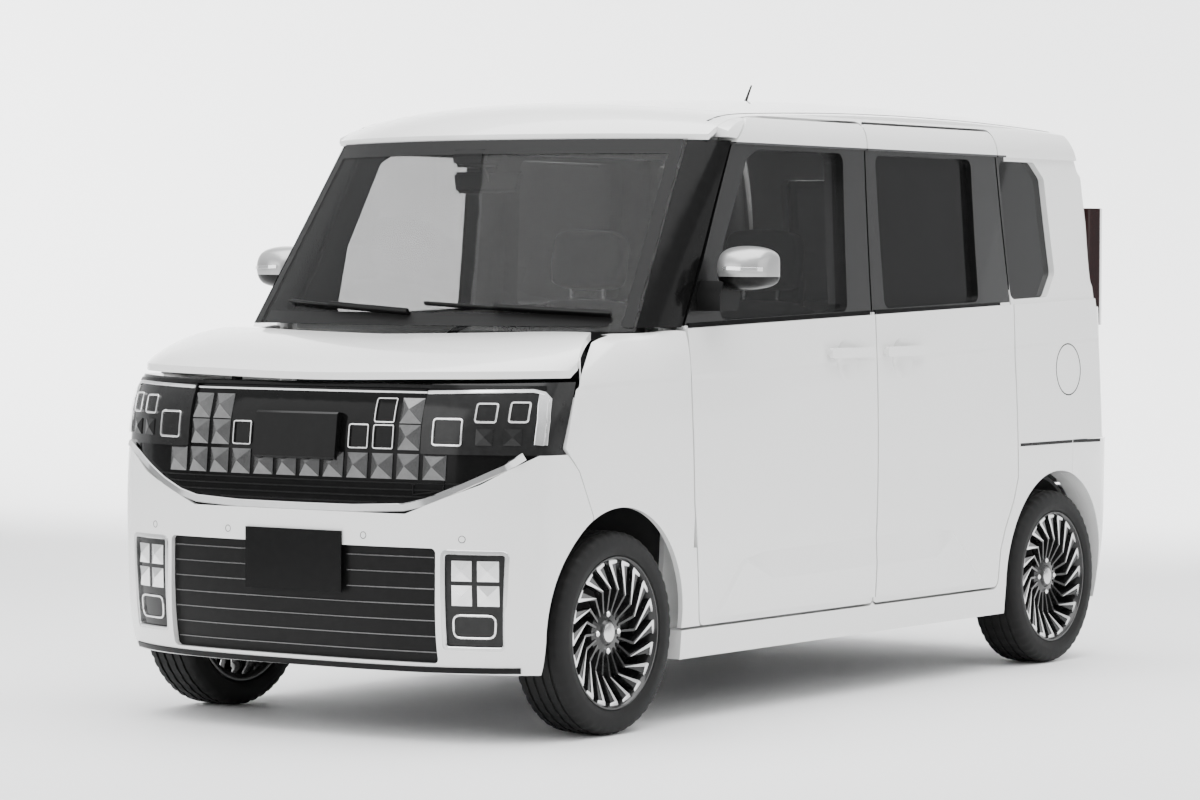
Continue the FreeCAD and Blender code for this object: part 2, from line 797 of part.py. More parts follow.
def rear_band(outer, inner):
    """The rear wall's section between two depths, drawn in the side view and closed."""
    rows = []
    for inset in (outer, inner):
        points = [vec(X_IN, y - REAR_CROWN - inset, z) for z, y in REAR_ARCS]
        edges = [arc(*points[index:index + 3]) for index in (0, 2, 4)]
        rows.append((points, edges))
    low = line(rows[0][0][0], rows[1][0][0])
    high = line(rows[0][0][-1], rows[1][0][-1])
    wire = Part.Wire(Part.__sortEdges__(rows[0][1] + rows[1][1] + [low, high]))
    return Part.Face(wire)


def corner_tool(low, high):
    """The sharp edge to take off a corner that leans from one point to another."""
    lean = high - low
    radius = CORNER_RADIUS
    base = low + vec(-radius, -radius, 0)
    square = Part.Face(Part.makePolygon([base, base + vec(radius * 2, 0, 0),
                                         base + vec(radius * 2, radius * 2, 0),
                                         base + vec(0, radius * 2, 0), base]))
    circle = Part.Face(Part.Wire([Part.Circle(base, vec(0, 0, 1), radius).toShape()]))
    return square.extrude(lean).cut(circle.extrude(lean))


def fender_side():
    """What the fender covers in the side view ahead of the front door, above the sill."""
    rear = FRONT_AXLE_Y + ARCH_HALF_LENGTH * 1.5
    low = DOOR_BOTTOM_Z - DOOR_GAP
    return side_face([(NOSE_Y, low), (rear, low), (rear, PILLAR_BOTTOM_Z), (NOSE_Y, PILLAR_BOTTOM_Z)], 1.0)


def ahead_of_door(reach):
    """The side view ahead of the front door's line above the belt, less a reach forward."""
    roof_front = SIDE_TOP_START_Y
    points = [(NOSE_Y, PILLAR_BOTTOM_Z), (door_line_y(PILLAR_BOTTOM_Z) - reach, PILLAR_BOTTOM_Z)]
    for share in (0.35, 0.955, 1.0):
        z = PILLAR_BOTTOM_Z + (PILLAR_TOP_Z - PILLAR_BOTTOM_Z) * share
        points.append((door_line_y(z) - reach, z))
    points += [(roof_front, PILLAR_TOP_Z + PANEL_GAP), (roof_front, HEIGHT), (NOSE_Y, HEIGHT)]
    return side_face(points, 1.0)


def make_body_side(roof_cut):
    front = SIDE_START_Y
    low = SILL_Z - OVERRUN
    high = SIDE_TOP_Z + OVERRUN
    outline = side_face([(front, low), (TAIL_Y, low), (TAIL_Y, high), (front, high)], 1.0)
    holes = [side_face(quarter_window_points(), WINDOW_CORNER)]
    for axle_y in (FRONT_AXLE_Y, REAR_AXLE_Y):
        holes.append(arch_face(axle_y, X_IN))
    for hole in holes:
        outline = outline.cut(hole)
    outer = outline
    inner = outline
    for points in (front_door_points(), slide_door_points()):
        outer = outer.cut(side_face(points, DOOR_CORNER, DOOR_GAP))
        inner = inner.cut(side_face(points, DOOR_CORNER, -RIM_INSET))
    outer = outer.cut(fender_side()).cut(ahead_of_door(0))
    inner = inner.cut(ahead_of_door(PILLAR_FLANGE))
    pieces = []
    for face, start, end in ((outer, 0, FLANGE_START), (inner, FLANGE_START, FLANGE_END)):
        pieces.append(side_piece(face, start, end, front - OVERRUN, TAIL_Y))
    wall = side_piece(rear_band(0, REAR_WALL), 0, HALF_WIDTH - TAILGATE_HALF, SLIDE_REAR_Y, TAIL_Y + OVERRUN)
    pieces.append(wall.cut(box((0, SLIDE_REAR_Y, 0), (TAILGATE_HALF, LENGTH, HEIGHT))))
    side = fused(pieces + door_hinge_arms()).cut(rear_band(-OVERRUN * 8, 0).extrude(vec(X_OUT, 0, 0)))
    for low, high, step in ((REAR_ARCS[0], REAR_ARCS[2], 0), (REAR_ARCS[2], REAR_ARCS[4], WINDOW_STEP),
                            (REAR_ARCS[4], REAR_ARCS[6], WINDOW_STEP)):
        ends = [vec(side_x(z) - step, y - REAR_CROWN, z) for z, y in (low, high)]
        side = side.cut(corner_tool(*ends))
    return side.cut(roof_cut)


# Windshield and front pillars

def shield_edge(z):
    """The outer edge of the windshield at one level."""
    share = (z - SHIELD_BASE_Z) / (SHIELD_TOP_Z - SHIELD_BASE_Z)
    x = SHIELD_BASE_X + (SHIELD_TOP_X - SHIELD_BASE_X) * share
    y = SHIELD_BASE_Y + (SHIELD_TOP_Y - SHIELD_BASE_Y) * share
    return vec(x, y, z)


def shield_row(z, inset):
    edge = shield_edge(z)
    row = []
    for share in (-1.0, -0.75, -0.4, 0.0, 0.4, 0.75, 1.0):
        y = edge.y - SHIELD_SWEEP * (1 - share ** 2) + inset
        row.append(vec(edge.x * share, y, z))
    return row


def make_windshield():
    wires = []
    for z in (SHIELD_BASE_Z, (SHIELD_BASE_Z + SHIELD_TOP_Z) / 2, SHIELD_TOP_Z):
        wires.append(band(shield_row(z, 0), shield_row(z, SHIELD_THICKNESS)))
    return loft(wires)


PILLAR_WALL = FLANGE_START - SEAT_GAP
PILLAR_BOTTOM_Z = 1098.0
PILLAR_TOP_Z = 1628.0
PILLAR_END_Z = 1621.5
DOOR_LINE_SHARES = [(0.0, 1.013), (0.35, 0.9015), (0.955, 0.7284), (1.1, 0.66)]


def door_line_y(z):
    """The front door's edge above the belt, in the side view."""
    share = (z - PILLAR_BOTTOM_Z) / (PILLAR_TOP_Z - PILLAR_BOTTOM_Z)
    return B_GAP_Y - FRONT_DOOR_LENGTH * between(DOOR_LINE_SHARES, share)


def make_front_pillar():
    wires = []
    for share in (0.0, 0.33, 0.66, 1.0):
        z = PILLAR_BOTTOM_Z + (PILLAR_TOP_Z - PILLAR_BOTTOM_Z) * share
        edge = shield_edge(z)
        rear = vec(side_x(z) - WINDOW_STEP, door_line_y(z) - DOOR_GAP * 2, z)
        front = edge + vec(PANEL_GAP, 0, 0)
        middle = (front + rear) / 2 + vec(PANEL_GAP * 3, -PANEL_GAP, 0)
        outer = [front, middle, rear]
        inner = [p - vec(PILLAR_WALL, 0, 0) for p in outer]
        inner[0] = front + vec(-PILLAR_WALL * 0.4, PILLAR_WALL * 0.7, 0)
        wires.append(band(outer, inner))
    behind = side_slab(HIGH_SECTION, FLANGE_START - SEAT_GAP, WALL_DEPTH * 2, NOSE_Y, 0)
    ahead = ahead_of_door(PILLAR_FLANGE + SEAT_GAP).extrude(vec(X_OUT - X_IN, 0, 0))
    return loft(wires).cut(behind.cut(ahead))


# Nose

U_LINE_SHARES = [(0.492, 0.341), (0.78, 0.3866), (0.983, 0.4353), (1.04, 0.44), (1.04, 0.56)]
GRILLE_INSET = 12.0
PYRAMID_PITCH = 80.0
PYRAMID_HEIGHT = 20.0
PYRAMID_LOW_Z = 733.0
PYRAMID_MIDDLE_Z = 810.0
PYRAMID_TOP_Z = 880.0
PYRAMID_PLACES = [(share - 5.5, PYRAMID_LOW_Z) for share in range(12)]
PYRAMID_PLACES += [(share, z) for share in (-4.5, -3.5, 4.5) for z in (PYRAMID_MIDDLE_Z, PYRAMID_TOP_Z)]
LAMP_INNER_X = 400.0
LAMP_BOTTOM_Z = 768.0
LAMP_DEPTH = 110.0
LAMP_CORNER = 6.0
LAMP_TOP_Z = 960.0
SHELL_LEVELS = [FACE_BOTTOM_Z, 250.0, 400.0, 550.0, 700.0, BUMPER_TOP_Z]
FACE_LEVELS = [600.0, 700.0, 807.0, 900.0, FACE_TOP_Z]
LOWER_GRILLE_HALF = 455.0
LOWER_GRILLE_BOTTOM_Z = 214.0
LOWER_GRILLE_TOP_Z = 520.0
FOG_INNER_X = 472.0
FOG_OUTER_X = 645.0
FOG_BOTTOM_Z = 252.0
FOG_TOP_Z = 516.0
NOSE_CORNER = 14.0


def both_sides(points):
    """An outline in the front view, with its right half added."""
    return points + [(-x, z) for x, z in points[::-1]]


def face_points():
    return both_sides([(HALF_WIDTH * a, HEIGHT * b) for a, b in U_LINE_SHARES])


def fender_region(grow):
    """What belongs to the fender in the side view, with its gap if grown."""
    edge = [(-1400.0, 1105.0), (-1400.0, 975.0), (-1468.0, 785.0), (-1404.0, 723.0), (-1336.0, 600.0),
            (-1336.0, 560.0), (-760.0, 560.0), (-760.0, 1105.0)]
    return prism_x(edge, 2.0, X_IN - 200.0, X_OUT, grow)


def lower_grille_points():
    return both_sides([(LOWER_GRILLE_HALF, LOWER_GRILLE_BOTTOM_Z), (LOWER_GRILLE_HALF, LOWER_GRILLE_TOP_Z)])


def fog_points():
    return [(FOG_INNER_X, FOG_BOTTOM_Z), (FOG_OUTER_X - 12.0, FOG_BOTTOM_Z), (FOG_OUTER_X, FOG_TOP_Z),
            (FOG_INNER_X, FOG_TOP_Z)]


def make_front_bumper():
    shell = front_slab(SHELL_LEVELS, 0, BUMPER_WALL, BUMPER_SIDE_Y)
    near = NOSE_Y - OVERRUN
    far = NOSE_Y + FRONT_OVERHANG * 0.75
    shell = shell.cut(prism_y(face_points(), NOSE_CORNER, near, far))
    shell = shell.cut(prism_y(lower_grille_points(), NOSE_CORNER, near, far))
    fog = prism_y(fog_points(), NOSE_CORNER, near, far)
    shell = shell.cut(fog).cut(mirrored(fog))
    lamp = prism_y(lamp_points(), LAMP_CORNER, near, BUMPER_SIDE_Y, SEAT_GAP)
    for side in (lamp, arch(FRONT_AXLE_Y, X_IN - 200.0, X_OUT), fender_region(PANEL_GAP)):
        shell = shell.cut(side).cut(mirrored(side))
    return shell


def lamp_points():
    return [(LAMP_INNER_X, LAMP_BOTTOM_Z), (HALF_WIDTH + OVERRUN, LAMP_BOTTOM_Z),
            (HALF_WIDTH + OVERRUN, LAMP_TOP_Z),
            (LAMP_INNER_X, FACE_TOP_Z)]


def make_grille_upper():
    shell = front_slab(FACE_LEVELS, GRILLE_INSET, 45.0, BUMPER_SIDE_Y)
    near = NOSE_Y - OVERRUN
    far = NOSE_Y + FRONT_OVERHANG * 0.6
    shell = shell.common(prism_y(face_points(), NOSE_CORNER, near, far, -SEAT_GAP))
    lamp = prism_y(lamp_points(), 6.0, near, far, SEAT_GAP)
    shell = shell.cut(lamp).cut(mirrored(lamp))
    side = fender_region(PANEL_GAP)
    shell = shell.cut(side).cut(mirrored(side))
    return Part.makeCompound([largest(shell)] + make_pyramids())


def nose_point(x, z, out):
    """A place on the nose, moved forward of its outer surface."""
    plan = between(FRONT_PLAN_SHARES, abs(x) / side_x(z))
    return vec(x, front_y(z) + FRONT_OVERHANG * plan - out, z)


def pyramid(x, z, half, height):
    """A square pyramid that stands just off the grille's face."""
    base = [nose_point(x + a * half, z + b * half, SEAT_GAP - GRILLE_INSET)
            for a, b in ((-1, -1), (1, -1), (1, 1), (-1, 1))]
    tip = nose_point(x, z, height - GRILLE_INSET)
    faces = [Part.Face(Part.makePolygon([base[0], base[1], base[2], base[0]])),
             Part.Face(Part.makePolygon([base[0], base[2], base[3], base[0]]))]
    for index in range(4):
        faces.append(Part.Face(Part.makePolygon([base[index], base[(index + 1) % 4], tip, base[index]])))
    return Part.makeSolid(Part.makeShell(faces))


def make_pyramids():
    solids = []
    for x_share, z in PYRAMID_PLACES:
        solids.append(pyramid(x_share * PYRAMID_PITCH, z, PYRAMID_PITCH * 0.4, PYRAMID_HEIGHT))
    return solids


def make_headlamp():
    shell = front_slab([740.0, 807.0, 900.0, LAMP_TOP_Z], 4.0, LAMP_DEPTH, BUMPER_SIDE_Y)
    near = NOSE_Y - OVERRUN
    lamp = shell.common(prism_y(lamp_points(), 6.0, near, -1390.0))
    lamp = lamp.cut(fender_region(PANEL_GAP))
    return lamp


def make_grille_lower():
    shell = front_slab([200.0, 300.0, 400.0, 540.0], 14.0, 40.0, BUMPER_SIDE_Y)
    return shell.common(prism_y(lower_grille_points(), NOSE_CORNER, NOSE_Y - OVERRUN, -1500.0, -SEAT_GAP))


def make_fog():
    shell = front_slab([240.0, 300.0, 400.0, 530.0], 8.0, 60.0, BUMPER_SIDE_Y)
    return shell.common(prism_y(fog_points(), NOSE_CORNER, NOSE_Y - OVERRUN, -1480.0, -SEAT_GAP))


PLATE_WIDTH = 330.0
PLATE_HEIGHT = 165.0
PLATE_BOTTOM_Z = 392.0
PLATE_THICKNESS = 4.0


def make_front_plate():
    z = PLATE_BOTTOM_Z
    y = front_y(z) - SEAT_GAP
    plate = box((-PLATE_WIDTH / 2, y - PLATE_THICKNESS, z), (PLATE_WIDTH / 2, y, z + PLATE_HEIGHT))
    return plate


def lean_row(y, inset):
    """Points up one section of the fender."""
    offset = (y - FRONT_AXLE_Y) / FENDER_REACH
    top_x = HALF_WIDTH * between([(a, b) for a, b, c in FENDER_TOP_SHARES], offset)
    top_z = FENDER_LEAN_Z + FENDER_RISE * between([(a, c) for a, b, c in FENDER_TOP_SHARES], offset)
    row = [vec(side_x(z) - inset, y, z) for z in (SILL_Z, DOOR_BOTTOM_Z, LOWER_Z, WIDEST_Z)]
    base_x = side_x(FENDER_LEAN_Z)
    for rise, lean in FENDER_LEAN_SHARES:
        z = FENDER_LEAN_Z + (top_z - FENDER_LEAN_Z) * rise
        row.append(vec(base_x + (top_x - base_x) * lean - inset, y, z))
    return row


def fender_slab(outer, inner):
    wires = []
    for share in (0.0, 0.12, 0.24, 0.42, 0.56, 0.70, 0.85, 1.0):
        y = FENDER_FRONT_Y + (FENDER_REAR_Y - FENDER_FRONT_Y) * share
        wires.append(band(lean_row(y, outer), lean_row(y, inner)))
    return loft(wires)


def make_fender():
    fender = fender_slab(0, FENDER_WALL)
    low = box((X_IN - 200.0, FRONT_AXLE_Y, DOOR_BOTTOM_Z), (X_OUT, FENDER_REAR_Y, 700.0))
    fender = fender.common(fender_region(0).fuse(low))
    fender = fender.cut(prism_x(front_door_points(), DOOR_CORNER, X_IN, X_OUT, DOOR_GAP))
    fender = fender.cut(prism_z(hood_points(), HOOD_CORNER, HOOD_EDGE_Z - 60.0, HEIGHT,
                                HOOD_GAP)).cut(hood_swing())
    low_z, high_z = DOOR_SWING_LEVELS
    swing = Part.makeCylinder(DOOR_SWING_RADIUS, high_z - low_z, vec(DOOR_HINGE_X, DOOR_HINGE_Y, low_z))
    return largest(fender.cut(arch(FRONT_AXLE_Y, X_IN, X_OUT)).cut(swing))


# Hood

def hood_edge_y(x):
    return HOOD_FRONT_Y + HOOD_LENGTH * between(HOOD_EDGE_SHARES, abs(x) / HALF_WIDTH)


def hood_points():
    outline = [
        (HALF_WIDTH * 0.985, NOSE_Y),
        (HALF_WIDTH * 0.985, -1400.0),
        (HOOD_REAR_HALF, HOOD_REAR_CORNER_Y),
        (HOOD_REAR_HALF * 0.5, HOOD_REAR_MIDDLE_Y + 22.0),
        (0.0, HOOD_REAR_MIDDLE_Y),
    ]
    return outline + [(-x, y) for x, y in outline[-2::-1]]


def hood_swing():
    """The room that the hood's rear edge sweeps about its hinges."""
    return cylinder_x(HOOD_SWING_RADIUS, HOOD_SWING_START_X, HOOD_SWING_END_X, HOOD_HINGE_Y, HOOD_HINGE_Z)


def make_hood():
    rows = []
    for back, rise in HOOD_RISE_SHARES:
        row = []
        for share in (-0.991, -0.93, -0.86, -0.74, -0.5, 0.0, 0.5, 0.74, 0.86, 0.93, 0.991):
            x = HALF_WIDTH * share
            y = hood_edge_y(x) + HOOD_LENGTH * back
            z = HOOD_EDGE_Z + HOOD_RISE * rise + PANEL_GAP * 4 * abs(share)
            row.append(vec(x, y, z))
        rows.append(row)
    slab = surface_through(rows).extrude(vec(0, 0, -HOOD_THICKNESS))
    hood = slab.common(prism_z(hood_points(), HOOD_CORNER, HOOD_EDGE_Z - 60.0, HEIGHT))
    lug = box((HOOD_HINGE_X - 6.0, HOOD_HINGE_Y - 45.0, HOOD_HINGE_Z - 10.0),
              (HOOD_HINGE_X + 6.0, HOOD_HINGE_Y - 18.0, HOOD_EDGE_Z + HOOD_RISE - 6.0))
    foot = box((HOOD_HINGE_X - 6.0, HOOD_HINGE_Y - 45.0, HOOD_HINGE_Z - 10.0),
               (HOOD_HINGE_X + 6.0, HOOD_HINGE_Y + 10.0, HOOD_HINGE_Z + 10.0))
    lug = lug.fuse(foot).cut(hood_pin(40.0, HINGE_PIN + SEAT_GAP, HOOD_HINGE_X))
    return fused([hood, lug, mirrored(lug)])


def make_cowl():
    outline = [
        (HOOD_REAR_HALF - 4.0, HOOD_REAR_CORNER_Y + 8.0),
        (SHIELD_BASE_X - 14.0, SHIELD_BASE_Y - 8.0),
        (SHIELD_BASE_X * 0.75, SHIELD_BASE_Y - 88.0),
        (SHIELD_BASE_X * 0.4, SHIELD_BASE_Y - 160.0),
        (0.0, SHIELD_BASE_Y - SHIELD_SWEEP - 6.0),
        (0.0, HOOD_REAR_MIDDLE_Y + 8.0),
        (HOOD_REAR_HALF * 0.5, HOOD_REAR_MIDDLE_Y + 30.0),
    ]
    half = prism_z(outline, 1.0, COWL_BOTTOM_Z, COWL_BOTTOM_Z + 28.0)
    notch = box((HOOD_HINGE_X - 12.0, NOSE_Y, 0), (HOOD_HINGE_X + 12.0, HOOD_HINGE_Y + 48.0, HEIGHT))
    half = half.cut(notch).cut(hood_swing())
    return half.fuse(mirrored(half)).removeSplitter()


# Rear

TAILGATE_BOTTOM_Z = 560.0
TAILGATE_TOP_Z = 1742.0
TAILGATE_DEPTH = 60.0
TAILGATE_TOP_GAP = 28.0
REAR_LEVELS = [540.0, 720.0, 935.0, 1130.0, 1300.0, 1460.0, 1598.0, 1680.0, 1742.0]
REAR_BUMPER_LEVELS = [190.0, 260.0, 500.0, 714.0]


def rear_row(z, inset, shares, half):
    end = rear_y(z, shares) - inset
    row = []
    for share in (-1.0, -0.8, -0.5, 0.0, 0.5, 0.8, 1.0):
        x = half * share
        row.append(vec(x, end - REAR_CROWN * (x / half) ** 2, z))
    return row


def tailgate_points(half):
    points = [(half, TAILGATE_BOTTOM_Z), (half, 1250.0), (half - 20.0, 1640.0)]
    for share in (0.88, 0.6, 0.3):
        points.append((half * share, roof_z(half * share, ROOF_REAR_Y, 1) - TAILGATE_TOP_GAP))
    return both_sides(points)


def rear_window_points():
    return both_sides([(470.0, 1150.0), (455.0, 1560.0)])


def header_room():
    """The room ahead of the tailgate's top for the roof and its header."""
    half = TAILGATE_HALF + DOOR_GAP
    near = [vec(half * share, HEADER_Y + DOOR_GAP - REAR_CROWN * share ** 2, 0)
            for share in (-1.0, -0.5, 0.0, 0.5, 1.0)]
    wire = band(near, [p - vec(0, HEADER_DEPTH * 4, 0) for p in near])
    wire.translate(vec(0, 0, HEADER_BOTTOM_Z - OVERRUN))
    return Part.Face(wire).extrude(vec(0, 0, HEIGHT))


def make_tailgate():
    half = TAILGATE_HALF - DOOR_GAP
    wires = []
    for z in REAR_LEVELS:
        wires.append(band(rear_row(z, 0, BODY_REAR_SHARES, half),
                          rear_row(z, TAILGATE_DEPTH, BODY_REAR_SHARES, half)))
    gate = loft(wires)
    gate = gate.common(prism_y(tailgate_points(half), DOOR_CORNER, 1300.0, TAIL_Y + OVERRUN))
    gate = gate.cut(header_room())
    for side in (1, -1):
        gate = gate.cut(gate_barrel(side * (GATE_HINGE_X + GATE_HINGE_REACH), GATE_HINGE_REACH + SEAT_GAP,
                                    HINGE_BARREL * 2))
        barrel = gate_barrel(side * GATE_HINGE_X, GATE_HINGE_REACH - SEAT_GAP, HINGE_BARREL)
        gate = gate.fuse(barrel).cut(gate_barrel(side * GATE_HINGE_X, GATE_HINGE_REACH,
                                                 HINGE_PIN + SEAT_GAP))
    return gate.cut(prism_y(rear_window_points(), WINDOW_CORNER, 1300.0, TAIL_Y + OVERRUN))


def make_tailgate_glass():
    half = TAILGATE_HALF - DOOR_GAP
    wires = []
    for z in REAR_LEVELS[3:7]:
        wires.append(band(rear_row(z, 14.0, BODY_REAR_SHARES, half),
                          rear_row(z, 18.5, BODY_REAR_SHARES, half)))
    return loft(wires).common(prism_y(rear_window_points(), WINDOW_CORNER, 1300.0, TAIL_Y + OVERRUN,
                                      -SEAT_GAP))


def bumper_rear_row(z, inset, front):
    end = rear_y(z, BUMPER_REAR_SHARES) - inset - REAR_CROWN * 0.5
    left = [vec(side_x(z) - inset, front, z)]
    for a, b in CORNER_SHARES[1:]:
        left.append(vec(side_x(z) - inset - CORNER * a, end - CORNER * b, z))
    corner = left[-1]
    rise = REAR_CROWN * 0.5 + CORNER * CORNER_SHARES[-1][1]
    left.append(vec(corner.x * 0.5, corner.y + rise * 0.75, z))
    right = [vec(-p.x, p.y, p.z) for p in left[::-1]]
    return left + [vec(0, corner.y + rise, z)] + right


BUMPER_FRONT_Y = 1385.0


def make_rear_bumper():
    levels = REAR_BUMPER_LEVELS
    wires = [band(bumper_rear_row(z, 0, BUMPER_FRONT_Y), bumper_rear_row(z, BUMPER_WALL, BUMPER_FRONT_Y))
             for z in levels]
    bumper = loft(wires)
    gate = prism_y(both_sides([(TAILGATE_HALF + 6.0, TAILGATE_BOTTOM_Z - MOVING_GAP),
                               (TAILGATE_HALF + 6.0, HEIGHT)]),
                   DOOR_CORNER, 1300.0, TAIL_Y + OVERRUN)
    bumper = bumper.cut(gate).cut(box((-X_OUT, 0, levels[-1] - PANEL_GAP), (X_OUT, LENGTH, HEIGHT)))
    side = arch(REAR_AXLE_Y, X_IN - 100.0, X_OUT)
    return bumper.cut(side).cut(mirrored(side))


def rear_bumper_region():
    """The room that the rear bumper takes from the body side."""
    levels = REAR_BUMPER_LEVELS
    wires = []
    for z in levels:
        wires.append(band(bumper_rear_row(z, -OVERRUN, BUMPER_FRONT_Y - PANEL_GAP),
                          bumper_rear_row(z, BUMPER_WALL + SEAT_GAP, BUMPER_FRONT_Y - PANEL_GAP)))
    return loft(wires).fuse(box((-X_OUT, BUMPER_FRONT_Y - PANEL_GAP, 0),
                                (X_OUT, LENGTH, levels[0] + SEAT_GAP)))


LAMP_STRIP_BOTTOM_Z = 1080.0
LAMP_STRIP_TOP_Z = 1460.0


def tail_lamp_prism(grow):
    """A tail lamp, or the room it takes if grown."""
    inner_x = TAILGATE_HALF + 12.0
    outline = [(inner_x, 1560.0), (704.0, 1535.0), (712.0, 1610.0), (690.0, 1668.0), (inner_x, 1680.0)]
    face = rounded_face(outline, 18.0, lambda p: vec(p.x, p.y, LAMP_STRIP_BOTTOM_Z - grow))
    if grow:
        face = face.makeOffset2D(grow)
    return face.extrude(vec(0, 0, LAMP_STRIP_TOP_Z - LAMP_STRIP_BOTTOM_Z + grow * 2))


# Cabin

def make_floor(sides):
    half = FLOOR_HALF
    step = FLOOR_STEP_Y
    floor = box((-half, FLOOR_FRONT_Y, FLOOR_Z), (half, step, FLOOR_Z + FLOOR_THICKNESS))
    rear = box((-half, step - FLOOR_THICKNESS / 2, REAR_FLOOR_Z),
               (half, FLOOR_REAR_Y, REAR_FLOOR_Z + FLOOR_THICKNESS))
    wall = box((-half, step - FLOOR_THICKNESS / 2, FLOOR_Z), (half, step, REAR_FLOOR_Z + FLOOR_THICKNESS))
    firewall = box((-half, FLOOR_FRONT_Y, FLOOR_Z),
                   (half, FLOOR_FRONT_Y + FIREWALL, COWL_BOTTOM_Z - SEAT_GAP))
    shelf = box((-COWL_SHELF_HALF, COWL_SHELF_Y, COWL_BOTTOM_Z - SEAT_GAP - FIREWALL),
                (COWL_SHELF_HALF, FLOOR_FRONT_Y + FIREWALL, COWL_BOTTOM_Z - SEAT_GAP))
    floor = floor.multiFuse([rear, wall, firewall, shelf])
    for mirror in (False, True):
        outer = cylinder_x(WHEELHOUSE_RADIUS + WHEELHOUSE_WALL, WHEELHOUSE_X, half, REAR_AXLE_Y,
                           ARCH_CENTRE_Z)
        foot = box((WHEELHOUSE_X, REAR_AXLE_Y - WHEELHOUSE_RADIUS - WHEELHOUSE_WALL, FLOOR_Z),
                   (half, REAR_AXLE_Y + WHEELHOUSE_RADIUS + WHEELHOUSE_WALL, ARCH_CENTRE_Z))
        outer = outer.fuse(foot)
        well = cylinder_x(WHEELHOUSE_RADIUS, WHEELHOUSE_X + WHEELHOUSE_WALL, half, REAR_AXLE_Y,
                          ARCH_CENTRE_Z)
        below = box((WHEELHOUSE_X + WHEELHOUSE_WALL, REAR_AXLE_Y - WHEELHOUSE_RADIUS, -OVERRUN),
                    (half, REAR_AXLE_Y + WHEELHOUSE_RADIUS, ARCH_CENTRE_Z))
        cap = box((0, 0, -HEIGHT), (half, step - FLOOR_THICKNESS / 2, FLOOR_Z))
        cap = cap.fuse(box((0, step - FLOOR_THICKNESS / 2, -HEIGHT), (half, LENGTH, REAR_FLOOR_Z)))
        tools = [outer.cut(cap), well.fuse(below)]
        if mirror:
            tools = [mirrored(tool) for tool in tools]
        floor = floor.fuse(tools[0]).cut(tools[1])
    for side in sides:
        floor = floor.cut(side)
    return floor


def largest(shape):
    return max(shape.Solids, key=lambda solid: solid.Volume)


def pivot_rod(radius, start, end):
    """A rod along the steering axis of the left front wheel, between two shares of its length."""
    low = vec(PIVOT_LOW_X, FRONT_AXLE_Y, PIVOT_LOW_Z)
    up = vec(PIVOT_TOP_X, FRONT_AXLE_Y, PIVOT_TOP_Z) - low
    return rod(radius, low + up * start, low + up * end)


def hood_pin(length, radius, x):
    return cylinder_x(radius, x - length / 2, x + length / 2, HOOD_HINGE_Y, HOOD_HINGE_Z)


def hood_hinge_pieces():
    """The bracket over the strut tower that carries the fender and the hood's hinge pin."""
    near = HOOD_HINGE_Y - 15.0
    far = HOOD_HINGE_Y + 15.0
    inner_x = HOOD_HINGE_X + 8.0
    post = box((inner_x, near, 850.0), (inner_x + 14.0, far, HOOD_HINGE_Z + 10.0))
    beam = box((RAIL_OUTER_X - 12.0, near, 850.0), (HALF_WIDTH, far, 868.0))
    web = box((RAIL_OUTER_X - 12.0, near, 820.0), (RAIL_OUTER_X, far, 868.0))
    return [post, beam, web, hood_pin(32.0, HINGE_PIN, HOOD_HINGE_X)]


def make_front_frame():
    pieces = []
    fender_room = fender_slab(-OVERRUN, FENDER_WALL + SEAT_GAP)
    for sign in (1, -1):
        rail = box((RAIL_INNER_X, -1640.0, 330.0), (RAIL_OUTER_X, FLOOR_FRONT_Y - SEAT_GAP, 440.0))
        apron = box((RAIL_OUTER_X - 12.0, FRONT_AXLE_Y - 90.0, 440.0),
                    (RAIL_OUTER_X, FRONT_AXLE_Y + 90.0, 830.0))
        tower = box((RAIL_OUTER_X, FRONT_AXLE_Y - 80.0, 812.0),
                    (PIVOT_TOP_X + 60.0, FRONT_AXLE_Y + 80.0, 830.0))
        arm = box((RAIL_INNER_X, FRONT_AXLE_Y - 30.0, ARM_BOTTOM_Z),
                  (PIVOT_LOW_X, FRONT_AXLE_Y + 30.0, ARM_TOP_Z))
        boss = Part.makeCylinder(STRUT_RADIUS + 8.0, ARM_TOP_Z - ARM_BOTTOM_Z,
                                 vec(PIVOT_LOW_X, FRONT_AXLE_Y, ARM_BOTTOM_Z))
        hanger = box((RAIL_INNER_X, FRONT_AXLE_Y - 60.0, 176.0),
                     (RAIL_INNER_X + 40.0, FRONT_AXLE_Y + 60.0, 330.0))
        piece = fused([rail, apron, tower, arm, boss, hanger] + hood_hinge_pieces())
        piece = piece.cut(pivot_rod(STRUT_RADIUS + SEAT_GAP, -0.2, 1.07)).cut(fender_room)
        pieces.append(piece if sign > 0 else mirrored(piece))
    cross = box((-RAIL_INNER_X, -1640.0, 330.0), (RAIL_INNER_X, -1600.0, 440.0))
    pieces.append(cross)
    nose = front_slab([200.0, 300.0, 400.0, 540.0], -OVERRUN, 40.0 + SEAT_GAP, BUMPER_SIDE_Y)
    return largest(fused(pieces).cut(nose))


def make_engine():
    return box((SEAT_GAP - RAIL_INNER_X, -1560.0, 345.0), (RAIL_INNER_X - SEAT_GAP, -960.0, 800.0))


